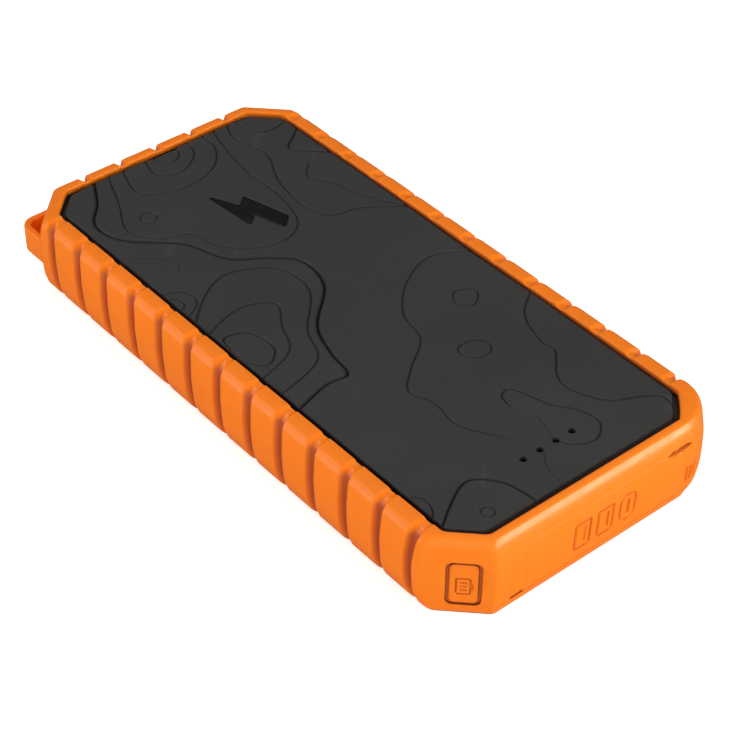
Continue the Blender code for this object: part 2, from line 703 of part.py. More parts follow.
def build_socket(kind, suffix, y, width, height, back, wall, tongue_half, tongue_z,
                 tongue_setback, tongue_mat, bevels=()):
    """A shell open at the front with a tongue inside. The bevels, if any, round the
    long edges of the shell and of its hollow."""
    y0, y1 = span(y, width / 2)
    shell = box(f"{kind}_shell{suffix}", (back, y0, COMPONENT_Z),
                (SHELL_FRONT, y1, COMPONENT_Z + height), "steel")
    hollow = box(f"{kind}_hollow{suffix}", (back + 0.5, y0 + wall, COMPONENT_Z + wall),
                 (SHELL_FRONT + 2, y1 - wall, COMPONENT_Z + height - wall))
    for ob, bevel in zip((shell, hollow), bevels):
        bevel_edges_along(ob, Vector((1, 0, 0)), bevel, 3)
    cut(shell, hollow)
    box(f"{kind}_tongue{suffix}", (back + 0.8, y - tongue_half, COMPONENT_Z + tongue_z[0]),
        (SHELL_FRONT - tongue_setback, y + tongue_half, COMPONENT_Z + tongue_z[1]),
        tongue_mat)


def build_sockets():
    for i, y in enumerate(USB_A_PLACES, 1):
        build_socket("usb_a", f"_{i}", y, **USB_A)
    build_socket("usb_c", "", USB_C_PLACE, **USB_C)


def socket_opening(y, socket):
    y0, y1 = span(y, socket["width"] / 2 + GAP)
    return (80, y0, COMPONENT_Z - GAP), (88, y1, COMPONENT_Z + socket["height"] + GAP)


def build_port_bezel():
    bezel = box("port_bezel", (82.8, BEZEL_Y0, BEZEL_Z0), (84.9, BEZEL_Y1, BEZEL_Z1),
                "black_plastic")
    join(bezel, box("bezel_flange", (81.8, -19.8, 4.2), (82.9, 28.0, 15.9)))
    openings = [socket_opening(y, USB_A) for y in USB_A_PLACES]
    openings.append(socket_opening(USB_C_PLACE, USB_C))
    cut(bezel, boxes("bezel_openings", openings))


# ---------------------------------------------------------------- main board
BOARD_OUTLINE = [(53.5, -34.2), (75.2, -34.2), (80.4, -29.0),
                 (80.4, 29.0), (75.2, 34.2), (53.5, 34.2)]
LED_HEIGHT = 0.65
# Box-shaped components: name, low corner, high corner, height, material
BOARD_COMPONENTS = [
    ("inductor", (57.0, 16.5), (67.4, 26.9), 5.2, "ferrite"),
    ("charge_controller", (61.5, -19.5), (67.5, -13.5), 0.9, "black_plastic"),
    ("port_controller", (61.5, 6.0), (66.5, 11.0), 0.9, "black_plastic"),
    ("mosfet_1", (55.6, 9.0), (59.6, 13.6), 1.1, "black_plastic"),
    ("mosfet_2", (55.6, -13.6), (59.6, -9.0), 1.1, "black_plastic"),
] + [(f"led_{i}", (x - 0.8, y - 0.5), (x + 0.8, y + 0.5), LED_HEIGHT, "led_lens")
     for i, (x, y) in enumerate(LED_PLACES, 1)]
INDUCTOR_BEVEL = 0.9
CAPACITOR_PLACES = [(58.2, -3.8), (58.2, 3.6), (65.4, -0.2)]
# Radius and height above the can's base
CAPACITOR_PROFILE = [(0, 7.6), (2.7, 7.6), (3.1, 7.2), (3.1, 1.4),
                     (2.8, 1.1), (3.1, 0.8), (3.1, 0), (0, 0)]


def build_main_board():
    board = flat_outline("main_board", [BOARD_OUTLINE], BOARD_BOTTOM, BOARD_TOP,
                         "board_green")
    cut(board, cylinders("board_holes", [(CASE_POSTS[2:], 5.0, 10.0, 3.6, 14),
                                         (BOARD_POSTS, 5.0, 10.0, 1.35, 12)]))


def build_board_components():
    for name, low, high, height, mat in BOARD_COMPONENTS:
        ob = box(name, (*low, COMPONENT_Z), (*high, COMPONENT_Z + height), mat)
        if name == "inductor":
            round_edges(ob, INDUCTOR_BEVEL)
    profile = [(radius, COMPONENT_Z + z) for radius, z in CAPACITOR_PROFILE]
    for i, place in enumerate(CAPACITOR_PLACES, 1):
        turned(f"capacitor_{i}", profile, place, "capacitor_can", steps=14)


def build_light_guide():
    """A bar under the lid with a pin through it over each LED."""
    guide = box("light_guide", (LED_X - 0.9, -8.6, 16.4), (LED_X + 0.9, 9.2, 17.6),
                "clear_plastic")
    pin_bottom = COMPONENT_Z + LED_HEIGHT + GAP
    join(guide, cylinders("guide_pins", [(LED_PLACES, pin_bottom, 20.9, 0.55, 10)]))


# ---------------------------------------------------------------- cells, frame and leads
CELL_BACK, CELL_FRONT, CELL_HALF_WIDTH = -72.5, 48.4, 33.0
CELL_BEVEL = 1.6
# Name, bottom, top
CELLS = [("battery_cell_lower", 4.2, 11.5), ("battery_cell_upper", 12.6, 19.9)]
FOAM_PADS = [("foam_pad_lower", 3.3, 3.9), ("foam_pad_middle", 11.8, 12.3),
             ("foam_pad_upper", 20.2, 20.6)]
FRAME_OUTER = [(-70.2, -36.9), (51.2, -36.9), (51.2, 36.9),
               (-70.2, 36.9), (-74.4, 32.7), (-74.4, -32.7)]
FRAME_INNER = [(-71.6, -33.4), (49.8, -33.4), (49.8, 33.4),
               (-71.6, 33.4), (-72.8, 32.2), (-72.8, -32.2)]
TAB_STRIPS = [("tab_strip_positive", 8.0), ("tab_strip_negative", -16.0)]   # name, low y
STRIP_WIDTH = 8.0
# Name, y, start (x, z), end (x, z), radius, material
LEADS = [
    ("lead_positive", 14.6, (49.6, 16.4), (55.0, 9.2), 0.8, "wire_red"),
    ("lead_negative", -14.8, (49.6, 16.4), (55.0, 9.2), 0.8, "wire_black"),
    ("temperature_probe", -27.0, (49.3, 15.6), (55.4, 8.9), 0.5, "wire_black"),
]


def build_battery():
    for name, z0, z1 in CELLS:
        cell = box(name, (CELL_BACK, -CELL_HALF_WIDTH, z0),
                   (CELL_FRONT, CELL_HALF_WIDTH, z1), "cell_foil")
        round_edges(cell, CELL_BEVEL)
    for name, z0, z1 in FOAM_PADS:
        box(name, (-62.0, -26.0, z0), (38.0, 26.0, z1), "foam")
    flat_outline("battery_frame", [FRAME_OUTER, FRAME_INNER], 3.3, 13.0, "frame_plastic")
    for name, y in TAB_STRIPS:
        box(name, (48.8, y, 5.6), (49.1, y + STRIP_WIDTH, 17.6), "nickel")


def build_lead(name, y, start, end, radius, mat):
    """A lead that starts out level and comes down on the board in a quarter arc."""
    steps = 6
    curve = bpy.data.curves.new(name, "CURVE")
    curve.dimensions = "3D"
    curve.bevel_depth = radius * MM
    curve.bevel_resolution = 1
    curve.use_fill_caps = True
    spline = curve.splines.new("POLY")
    spline.points.add(steps)
    for i, point in enumerate(spline.points):
        angle = math.radians(90 * i / steps)
        x = start[0] + (end[0] - start[0]) * math.sin(angle)
        z = end[1] + (start[1] - end[1]) * math.cos(angle)
        point.co = (x * MM, y * MM, z * MM, 1)
    curve.materials.append(materials[mat])
    parts.objects.link(bpy.data.objects.new(name, curve))


# ---------------------------------------------------------------- fasteners
# Radius and height; the case screws have their heads below, the board screws above
CASE_SCREW = [(0, 16.6), (0.7, 16.6), (1.0, 16.2), (1.0, 1.6), (2.15, 1.6),
              (2.15, 0.4), (1.1, 0.4), (1.1, 1.1), (0, 1.1)]
BOARD_SCREW = [(0, 9.1), (0.9, 9.1), (0.9, 9.7), (1.9, 9.7),
               (1.9, 8.3), (0.75, 8.3), (0.75, 3.9), (0, 3.9)]


def build_screws(prefix, profile, places):
    for i, place in enumerate(places, 1):
        turned(f"{prefix}_{i}", profile, place, "steel", steps=12)


# ---------------------------------------------------------------- build
build_bumper()
build_port_door()
build_door_strap()
build_power_button()
build_switch()
build_bottom_cover()
build_gasket()
build_top_cover()
build_port_bezel()
build_sockets()
build_main_board()
build_board_components()
build_light_guide()
build_battery()
for lead in LEADS:
    build_lead(*lead)
build_screws("case_screw", CASE_SCREW, CASE_POSTS)
build_screws("board_screw", BOARD_SCREW, BOARD_POSTS)

bpy.context.view_layer.update()
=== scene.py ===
"""Looks of a rugged power bank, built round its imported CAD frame.

The bank lies flat on the floor with its lid up (+z). Its plan is a long octagon: the ports and
their door are at the front (+x), the door's tab wraps the +x +y corner, the power button is on
the +x -y corner and the carry loop on the -x -y corner.
Lengths are in millimetres in the CAD frame and become metres when a mesh is made. The stage,
lights and world are in metres.
"""
import json
import math

import bmesh
import bpy
import numpy as np
from mathutils import Matrix, Vector
from mathutils.geometry import delaunay_2d_cdt


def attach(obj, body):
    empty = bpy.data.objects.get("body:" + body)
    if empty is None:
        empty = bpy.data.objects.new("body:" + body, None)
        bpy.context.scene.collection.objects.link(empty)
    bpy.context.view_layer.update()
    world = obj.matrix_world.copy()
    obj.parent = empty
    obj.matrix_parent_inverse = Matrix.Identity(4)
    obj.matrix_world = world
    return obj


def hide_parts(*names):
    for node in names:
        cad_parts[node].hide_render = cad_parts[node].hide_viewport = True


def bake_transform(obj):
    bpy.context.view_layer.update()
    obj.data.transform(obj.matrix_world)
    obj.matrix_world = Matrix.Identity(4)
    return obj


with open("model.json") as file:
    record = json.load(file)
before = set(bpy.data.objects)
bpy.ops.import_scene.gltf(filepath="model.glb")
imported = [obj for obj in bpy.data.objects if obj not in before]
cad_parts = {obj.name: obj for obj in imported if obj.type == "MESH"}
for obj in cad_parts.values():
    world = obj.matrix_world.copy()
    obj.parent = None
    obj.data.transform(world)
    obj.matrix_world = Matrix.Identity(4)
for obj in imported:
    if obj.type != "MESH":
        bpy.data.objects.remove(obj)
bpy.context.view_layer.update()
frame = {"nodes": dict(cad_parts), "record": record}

MM = 0.001
ROOT2 = math.sqrt(2.0)
NODES = frame["nodes"]
SCENE = bpy.context.scene

# ------------------------------------------------------------------ body sizes
# inner octagon: half width in y, reach to -x and +x, corner cut; the outlines are offset from it
HALF_W, BACK, FRONT, CHAMFER = 35.7, 80.4, 82.0, 6.4
TOP = 22.5      # top of the lid
LIP_TOP, LIP_BOTTOM, LIP_ROUND = 22.9, 21.0, 0.42
SHELF_Z = 1.4   # underside of the bumper's inner wall
BACK_SHIFT = -0.3   # back offset less side offset

PROFILE = [  # z, side, rib, front, front corner, back corner, bulge of the door's corner
    (0.0, 3.7, 0.6, 4.7, 3.9, 5.1, 0.40),
    (2.4, 4.6, 1.4, 5.1, 4.3, 5.5, 1.00),
    (7.3, 5.5, 1.9, 5.6, 4.8, 5.9, 0.95),
    (13.9, 5.8, 1.9, 5.8, 5.0, 6.1, 0.85),
    (18.2, 5.3, 1.9, 5.3, 4.8, 5.9, 0.80),
    (21.0, 4.6, 1.8, 4.5, 4.3, 5.4, 0.85),
    (22.5, 3.3, 1.5, 3.6, 3.2, 4.2, 0.90),
]
# offsets of one outline: side, rib, front, back, front corner, back corner, bulge
LIP = (1.2, 0.0, 1.6, 1.7, 1.4, 1.4, 0.15)
INNER = (3.9, 0.0, 3.5, 3.9, 2.5, 2.5, 0.0)
LOWER = (0.8, 0.0, 0.9, 0.9, -0.45, -0.45, 0.0)
OUTLINE = np.array([1, 0, 1, 1, 1, 1, 0])   # the offsets that move with the whole outline

# port door and its tab, which turns round the upright line ARC_X, ARC_Y
DOOR_Z0, DOOR_Z1, DOOR_START = 2.4, 17.5, -25.75
ARC_X, ARC_Y, TAB_ANGLE = 75.2, 29.9, 62.0
SEAM = 0.035
DOOR_INNER_X = 86.0
# fingernail notch above the door: centre, half length, half height
NOTCH_Y, NOTCH_Z, NOTCH_HALF, NOTCH_TALL = 26.8, 17.45, 4.3, 1.0

# power button: centre along the corner face and in z, half sizes, distance of its face
BUTTON_T, BUTTON_Z, BUTTON_FACE = 33.1, 9.8, 83.2
BUTTON_W, BUTTON_H = 6.7 / 2, 11.9 / 2

LED_X = 70.4
LED_Y = [0.3 + k * 2.54 for k in (-3, -1, 1, 3)]


# ------------------------------------------------------------------ curves
def smooth(x):
    x = np.clip(x, 0.0, 1.0)
    return x * x * (3 - 2 * x)


def pit(dist, reach, depth, start=0.0):
    """Full depth up to `start`, easing out over `reach`."""
    return depth * (1 - smooth((dist - start) / reach))


def stroke(dist, half, depth):
    """Groove that follows the line where `dist` is 0."""
    return pit(np.abs(dist) / half, 0.65, depth, 0.35)


def eased_edge(dist, reach, drop):
    """Drop of an elliptical rounding at a distance from the edge."""
    near = np.clip(1 - dist / reach, 0, 1)
    return drop * (1 - np.sqrt(np.clip(1 - near * near, 0, 1)))


def box_distance(u, v, centre_u, centre_v, half_u, half_v, radius):
    """Signed distance to a rounded rectangle, negative inside."""
    du = np.abs(u - centre_u) - (half_u - radius)
    dv = np.abs(v - centre_v) - (half_v - radius)
    outer = np.hypot(np.maximum(du, 0), np.maximum(dv, 0))
    return outer + np.minimum(np.maximum(du, dv), 0) - radius


def pchip(xs, ys, x):
    """Monotone cubic through a table, so nothing swells past its rows."""
    gap = np.diff(xs)
    rise = np.diff(ys) / gap
    slope = np.zeros(len(xs))
    for i in range(1, len(xs) - 1):
        if rise[i - 1] * rise[i] > 0:
            w1 = 2 * gap[i] + gap[i - 1]
            w2 = gap[i] + 2 * gap[i - 1]
            slope[i] = (w1 + w2) / (w1 / rise[i - 1] + w2 / rise[i])
    slope[0], slope[-1] = rise[0], rise[-1]
    i = min(int(np.searchsorted(xs, x, "right")) - 1, len(xs) - 2)
    t = (x - xs[i]) / gap[i]
    return float(ys[i] * (1 + 2 * t) * (1 - t) ** 2 + slope[i] * gap[i] * t * (1 - t) ** 2
                 + ys[i + 1] * t * t * (3 - 2 * t) + slope[i + 1] * gap[i] * t * t * (t - 1))


def skin(z):
    """Outline offsets of the bumper's outer skin at a height."""
    heights, *columns = np.array(PROFILE).T
    side, rib, front, front_corner, back_corner, bulge = [pchip(heights, c, z) for c in columns]
    return np.array([side, rib, front, side + BACK_SHIFT, front_corner, back_corner, bulge])


def grown(offsets, by):
    """Offsets with the whole outline moved outwards."""
    return np.array(offsets) + by * OUTLINE


# ------------------------------------------------------------------ materials
def feed(tree, node, inputs):
    """Sets each input to a value, or links it to the socket given."""
    for key, value in inputs.items():
        if isinstance(value, bpy.types.NodeSocket):
            tree.links.new(value, node.inputs[key])
        else:
            node.inputs[key].default_value = value


def add_node(tree, kind, inputs=None, **settings):
    node = tree.nodes.new("ShaderNode" + kind)
    for key, value in settings.items():
        setattr(node, key, value)
    feed(tree, node, inputs or {})
    return node


def principled(name):
    material = bpy.data.materials.new(name)
    material.use_nodes = True
    tree = material.node_tree
    return material, tree, tree.nodes["Principled BSDF"]


def surface(name, color, rough, metallic=0.0, grain=2600.0, grain_depth=0.012, vary=0.06,
            patch=45.0, rough_vary=0.08, stretch=None, coat=0.0, specular=0.5, edge=0.0,
            tint=(1.0, 1.0, 1.0), groove=None, shade=None):
    """Moulded or metal surface with fine grain in the bump and slow colour and roughness changes.

    grain and patch are noise scales, grain_depth is in mm, vary and rough_vary are the spread of
    brightness and roughness, and stretch scales the noise per axis. edge is how far convex edges
    are lightened with a painted highlight, groove the tone and strength of the painted shade where
    the mesh is marked, and shade the reach in mm and the tone of the painted shade in dark
    recesses.
    """
    material, tree, bsdf = principled(name)
    source = add_node(tree, "TexCoord").outputs["Object"]
    if stretch:
        source = add_node(tree, "Mapping", {"Vector": source, "Scale": stretch}).outputs["Vector"]

    def noise(scale, detail, roughness=0.5):
        return add_node(tree, "TexNoise", {"Vector": source, "Scale": scale, "Detail": detail,
                                           "Roughness": roughness}).outputs["Fac"]

    def remap(value, from_min, from_max, to_min, to_max):
        return add_node(tree, "MapRange", {
            "Value": value, "From Min": from_min, "From Max": from_max,
            "To Min": to_min, "To Max": to_max}).outputs["Result"]

    def spread(value, low, high):
        """Stretches the usual range of a noise over low to high."""
        return remap(value, 0.3, 0.7, low, high)

    def toward(start, factor, tone):
        mix = add_node(tree, "Mix", data_type="RGBA")
        feed(tree, mix, {"Factor": factor, "A": start, "B": (*tone, 1.0)})
        return mix.outputs["Result"]

    fine = noise(grain, 3.0, 0.6)
    broad = noise(patch, 3.0)
    middle = noise(grain * 0.12, 2.0)

    brightness = add_node(tree, "Math", {
        0: spread(broad, -vary * 0.5, vary * 0.5),
        1: spread(fine, 1.0 - vary * 0.35, 1.0 + vary * 0.35)}, operation="ADD")
    tone = add_node(tree, "HueSaturation", {
        "Color": (*color, 1.0), "Value": brightness.outputs[0]}).outputs["Color"]
    # painted highlight: convex edges, found by pointiness, are lightened towards a paler tone
    if edge:
        pointed = add_node(tree, "NewGeometry").outputs["Pointiness"]
        highlight_tone = [min(1.0, c * 1.5 + 0.04) for c in color]
        tone = toward(tone, remap(pointed, 0.52, 0.62, 0.0, edge), highlight_tone)
    # painted shade: the bumper's grooves are darkened where the mesh's groove weight is high
    if groove:
        groove_shade_tone, strength = groove
        mark = add_node(tree, "Attribute", attribute_name="groove").outputs["Fac"]
        tone = toward(tone, remap(mark, 0.0, 0.75, 0.0, strength), groove_shade_tone)
    if shade:
        reach, shade_tone = shade
        occlusion = add_node(tree, "AmbientOcclusion", {"Distance": reach * MM}, samples=8)
        tone = toward(tone, remap(occlusion.outputs["AO"], 0.32, 0.80, 1.0, 0.0), shade_tone)

    bump = add_node(tree, "Bump", {"Strength": 0.6, "Distance": grain_depth * MM, "Height": fine})
    feed(tree, bsdf, {
        "Base Color": tone,
        "Roughness": spread(middle, max(0.02, rough - rough_vary), min(1.0, rough + rough_vary)),
        "Normal": bump.outputs["Normal"],
        "Metallic": metallic,
        "Specular IOR Level": specular,
        "Specular Tint": (*tint, 1.0),
        "Coat Weight": coat,
        "Coat Roughness": 0.12,
    })
    return material


# edge paints a highlight on convex edges; groove and shade paint shade into grooves and recesses
LOOKS = {
    "orange_rubber": dict(
        color=(0.98, 0.212, 0.004), rough=0.36, grain=2600, grain_depth=0.014, vary=0.035,
        patch=38, specular=0.34, rough_vary=0.05, tint=(1.0, 0.9, 0.8),
        groove=((0.49, 0.10, 0.034), 0.9), shade=(1.8, (0.30, 0.065, 0.03))),
    "dark_plastic": dict(
        color=(0.0375, 0.0375, 0.0385), rough=0.55, grain=3400, grain_depth=0.02, vary=0.14,
        patch=30, specular=0.3, rough_vary=0.02, edge=0.15, shade=(1.6, (0.003, 0.003, 0.003))),
    "black_plastic": dict(color=(0.012, 0.012, 0.013), rough=0.38, grain=2400, vary=0.15),
    "black_rubber": dict(color=(0.018, 0.018, 0.018), rough=0.72, grain=1800, grain_depth=0.02,
                         vary=0.2, specular=0.35),
    "steel": dict(color=(0.62, 0.62, 0.63), rough=0.27, metallic=1.0, grain=900, vary=0.08,
                  grain_depth=0.004, stretch=(0.15, 3.0, 3.0), rough_vary=0.09, edge=0.4),
    "tongue_plastic": dict(color=(0.05, 0.25, 0.6), rough=0.35, grain=2000, grain_depth=0.006,
                           vary=0.08),
    "board_green": dict(color=(0.012, 0.12, 0.045), rough=0.28, grain=500, grain_depth=0.01,
                        vary=0.25, patch=260, coat=0.5),
    "ferrite": dict(color=(0.06, 0.06, 0.065), rough=0.7, grain=1500, grain_depth=0.03, vary=0.3),
    "led_lens": dict(color=(0.85, 0.85, 0.78), rough=0.15, grain=900, grain_depth=0.002,
                     vary=0.04, coat=0.6),
    # near black, so the light guides in the LED holes read as dark: painted shade
    "clear_plastic": dict(color=(0.006, 0.006, 0.007), rough=0.5, grain=900, grain_depth=0.002,
                          vary=0.05, specular=0.2),
    "capacitor_can": dict(color=(0.72, 0.72, 0.73), rough=0.24, metallic=1.0, grain=700,
                          grain_depth=0.003, stretch=(3.0, 3.0, 0.2), vary=0.07),
    "cell_foil": dict(color=(0.56, 0.58, 0.6), rough=0.34, metallic=1.0, grain=300,
                      grain_depth=0.05, vary=0.1, patch=20),
    "foam": dict(color=(0.035, 0.035, 0.036), rough=0.95, grain=1100, grain_depth=0.15,
                 vary=0.5, specular=0.1),
    "nickel": dict(color=(0.7, 0.68, 0.62), rough=0.25, metallic=1.0, grain=900,
                   grain_depth=0.003, stretch=(3.0, 0.2, 3.0), vary=0.06),
    "wire_red": dict(color=(0.5, 0.012, 0.012), rough=0.42, grain=1200, grain_depth=0.006,
                     vary=0.08),
    "wire_black": dict(color=(0.014, 0.014, 0.014), rough=0.42, grain=1200, grain_depth=0.006,
                       vary=0.1),
    "frame_plastic": dict(color=(0.2, 0.2, 0.21), rough=0.55, grain=1500, grain_depth=0.02,
                          vary=0.1),
    "emblem_gloss": dict(color=(0.004, 0.004, 0.0045), rough=0.34, grain=1500,
                         grain_depth=0.003, vary=0.1, specular=0.25),
}
MAT = {name: surface(name, **look) for name, look in LOOKS.items()}
for sub in frame["record"]["subparts"]:
    for slot in NODES[sub["node"]].material_slots:
        slot.material = MAT[sub["material_slot"]]


# ------------------------------------------------------------------ mesh helpers
def shade_by_angle(mesh, angle):
    mesh.shade_smooth()
    mesh.set_sharp_from_angle(angle=math.radians(angle))


def new_object(name, verts, faces, mat=None, angle=35.0):
    mesh = bpy.data.meshes.new(name)
    mesh.from_pydata((np.asarray(verts, float) * MM).tolist(), [],
                     [list(map(int, f)) for f in faces])
    bm = bmesh.new()
    bm.from_mesh(mesh)
    bmesh.ops.recalc_face_normals(bm, faces=bm.faces)
    bm.to_mesh(mesh)
    bm.free()
    if mat:
        mesh.materials.append(MAT[mat])
    shade_by_angle(mesh, angle)
    ob = bpy.data.objects.new(name, mesh)
    SCENE.collection.objects.link(ob)
    return ob


def loft(rings, closed=False):
    """Vertices and faces of a stack of equal rings; it is capped unless the stack is closed."""
    rings = np.asarray(rings, float)
    count, n = rings.shape[:2]
    faces = []
    for a in range(count if closed else count - 1):
        b = (a + 1) % count
        for i in range(n):
            j = (i + 1) % n
            faces.append((a * n + i, a * n + j, b * n + j, b * n + i))
    if not closed:
        faces.append(tuple(range(n - 1, -1, -1)))
        faces.append(tuple((count - 1) * n + i for i in range(n)))
    return rings.reshape(-1, 3), faces


def grid_faces(rows, columns):
    return [(a * columns + i, a * columns + i + 1, (a + 1) * columns + i + 1, (a + 1) * columns + i)
            for a in range(rows - 1) for i in range(columns - 1)]


def apply_booleans(ob, tools):
    """Run each cut or union in turn and keep its result as the object's mesh."""
    for tool, operation in tools:
        mod = ob.modifiers.new("b", "BOOLEAN")
        mod.operation = operation
        mod.solver = "EXACT"
        mod.object = tool
        bpy.context.view_layer.update()
        depsgraph = bpy.context.evaluated_depsgraph_get()
        mesh = bpy.data.meshes.new_from_object(ob.evaluated_get(depsgraph))
        if not len(mesh.polygons):
            raise RuntimeError("nothing left of " + ob.name + " after " + tool.name)
        ob.modifiers.clear()
        old = ob.data
        ob.data = mesh
        bpy.data.meshes.remove(old)
        bpy.data.objects.remove(tool, do_unlink=True)


def finish_cut(ob, angle, mat):
    """Welds slivers left by the cuts, marks sharp edges again and sets one material."""
    bm = bmesh.new()
    bm.from_mesh(ob.data)
    bmesh.ops.remove_doubles(bm, verts=bm.verts, dist=0.000002)
    bmesh.ops.dissolve_degenerate(bm, edges=bm.edges, dist=0.000001)
    bm.to_mesh(ob.data)
    bm.free()
    shade_by_angle(ob.data, angle)
    ob.data.materials.clear()
    ob.data.materials.append(MAT[mat])


def corner_arc(before, corner, after, radius, steps):
    """Points of the arc that rounds a corner between its two neighbours."""
    before, corner, after = (np.asarray(p, float) for p in (before, corner, after))
    a, b = before - corner, after - corner
    a, b = a / np.linalg.norm(a), b / np.linalg.norm(b)
    half = math.acos(float(np.clip(a @ b, -1, 1))) / 2
    run = radius / math.tan(half)
    centre = corner + (a + b) / np.linalg.norm(a + b) * (radius / math.sin(half))
    p0, p1 = corner + a * run - centre, corner + b * run - centre
    sweep = math.atan2(p0[0] * p1[1] - p0[1] * p1[0], float(p0 @ p1))
    turns = [sweep * i / steps for i in range(steps + 1)]
    return [(centre[0] + p0[0] * math.cos(f) - p0[1] * math.sin(f),
             centre[1] + p0[0] * math.sin(f) + p0[1] * math.cos(f)) for f in turns]


def rounded_rect(half_u, half_v, radius, steps=6):
    """Anticlockwise outline about the origin."""
    u, v = half_u - radius, half_v - radius
    points = []
    for cu, cv, start in ((u, v, 0), (-u, v, 90), (-u, -v, 180), (u, -v, 270)):
        for i in range(steps + 1):
            a = math.radians(start + 90 * i / steps)
            points.append((cu + radius * math.cos(a), cv + radius * math.sin(a)))
    return points


# ------------------------------------------------------------------ plan outlines
def front_chamfer(offset):
    """x + y along the front corner's face."""
    return FRONT + HALF_W - CHAMFER + offset * ROOT2


def octagon(side, front, back, front_corner, back_corner):
    """The eight corners, anticlockwise from the -y end of the back left-over corner at -x -y."""
    half_w, front_x, back_x = HALF_W + side, FRONT + front, BACK + back
    kf = front_chamfer(front_corner)
    kb = BACK + HALF_W - CHAMFER + back_corner * ROOT2
    return [(-(kb - half_w), -half_w), (kf - half_w, -half_w),
            (front_x, -(kf - front_x)), (front_x, kf - front_x),
            (kf - half_w, half_w), (-(kb - half_w), half_w),
            (-back_x, kb - back_x), (-back_x, -(kb - back_x))]


def tab_corner(front_x, half_w, chamfer, bulge, steps):
    """Outline of the +x +y corner, between the straight chamfer (bulge 0) and an arc (1)."""
    s = np.linspace(0, 1, steps + 1)
    a = np.radians(90.0 * s)
    x0 = front_x + (chamfer - half_w - front_x) * s
    y0 = (chamfer - front_x) + (half_w - (chamfer - front_x)) * s
    x1 = ARC_X + (front_x - ARC_X) * np.cos(a)
    y1 = ARC_Y + (half_w - ARC_Y) * np.sin(a)
    return np.stack([x0 + (x1 - x0) * bulge, y0 + (y1 - y0) * bulge], 1)


# ------------------------------------------------------------------ bumper
SIDE_GROOVES = [(i - 6) * 12.0 for i in range(13)]
BACK_GROOVES = [0.6 + (i - 2) * 11.6 for i in range(5)]
GROOVE_FLOOR, GROOVE_SHOULDER, GROOVE_END = 0.72, 1.12, 2.05
# stations across each groove, from its centre
STEPS = [-6.0, -4.8, -3.8, -3.1, -2.6, -2.3, -2.05, -1.85, -1.65, -1.45, -1.25, -1.08, -0.92,
         -0.76, -0.6, -0.44, -0.16, 0.16, 0.44, 0.6, 0.76, 0.92, 1.08, 1.25, 1.45, 1.65, 1.85,
         2.05, 2.3, 2.6, 3.1, 3.8, 4.8]
DIP = 0.5                       # how far the grooves sink the top edge
LEAN, LEAN_FADE = 2.1, 0.0058   # shift of the side grooves at the foot, and its loss per mm of x
SQUEEZE_FROM = 60.0             # |x| beyond which side grooves may close up
FOOT = [(0.0, 0.55), (0.08, 0.26), (0.25, 0.08)]   # z, inset
WALL_Z = [0.5, 0.9, 1.4, 1.9, 2.4, 3.0, 3.8, 4.8, 5.9, 7.0, 8.1, 9.3, 10.6, 12.0, 13.4, 14.7,
          16.0, 17.2, 18.2, 19.1, 19.9, 20.5, 21.0, 21.45, 21.85, 22.2, 22.5]
ROLL_INSET = np.array([0.35, 0.05, 0.3, 0.35, 0.35, 0.35, 0])   # control outline of the top roll


def groove_depth(off):
    """1 at a groove's floor, 0 on the rib, with soft shoulders between."""
    t = min(max((abs(off) - GROOVE_FLOOR) / GROOVE_SHOULDER, 0.0), 1.0)
    return 0.5 * (1 + math.cos(math.pi * t))


def bumper_ring(z, offsets, dip=0.0, radius=2.4):
    """One ring round the bumper, anticlockwise: x, y, z and the grooves' painted shade weight."""
    side, rib, front, back, front_corner, back_corner, bulge = offsets
    corners = octagon(side + rib, front, back + rib, front_corner, back_corner)
    half_w = HALF_W + side
    lean = LEAN * (1 - (min(z, TOP) / TOP) ** 6)
    ring = []

    def fit(x):
        """Lean the grooves, and close them up where the straight of a ring is short."""
        end = SIDE_GROOVES[-1] + GROOVE_END
        straight_end = corners[1][0] if x > 0 else -corners[0][0]
        limit = straight_end - radius * 0.4143 - 0.12
        reach = end + lean * (1 - LEAN_FADE * end) * (1 if x > 0 else -1.8)
        x += lean * (1 - LEAN_FADE * x)
        a = abs(x)
        if reach > limit and a > SQUEEZE_FROM:
            a = SQUEEZE_FROM + (a - SQUEEZE_FROM) * (limit - SQUEEZE_FROM) / (reach - SQUEEZE_FROM)
        return math.copysign(a, x)

    def grooved(centres, heading, wall, place):
        """Row of grooves; `place` turns the run along the wall and the reach out into x, y."""
        for k, centre in enumerate(centres):
            for step in STEPS:
                if k == 0 and step < -GROOVE_END - 0.01:
                    continue
                if k == len(centres) - 1 and step > GROOVE_END + 0.01:
                    continue
                depth = groove_depth(step)
                x, y = place(centre + step * heading, wall + rib * (1 - depth))
                # weight of the painted shade in the groove, fading out over the top roll
                mark = depth * min(1.0, rib / 0.9) * (1 - float(smooth((z - 20.3) / 2.0)))
                ring.append((x, y, z - dip * depth, mark))

    def plain(points):
        ring.extend((p[0], p[1], z, 0.0) for p in points)

    def arc(i, steps=7):
        return corner_arc(corners[i - 1], corners[i], corners[(i + 1) % 8], radius, steps)

    def straight_to(end, n):
        """Points between the last one and `end`, without either."""
        start = np.asarray(ring[-1][:2])
        plain([start + (np.asarray(end) - start) * i / n for i in range(1, n)])

    plain(arc(0))
    grooved(SIDE_GROOVES, 1, half_w, lambda along, out: (fit(along), -out))
    plain(arc(1))
    straight_to(arc(2, 1)[0], 8)
    plain(arc(2))
    tab = tab_corner(corners[3][0], half_w + rib, corners[3][0] + corners[3][1], bulge, 44)
    straight_to(tab[0], 24)
    plain(tab)
    grooved(SIDE_GROOVES[::-1], -1, half_w, lambda along, out: (fit(along), out))
    plain(arc(5))
    straight_to(arc(6, 1)[0], 8)
    plain(arc(6))
    grooved(BACK_GROOVES[::-1], -1, BACK + back, lambda along, out: (-out, along))
    plain(arc(7))
    straight_to(arc(0, 1)[0], 8)
    return ring


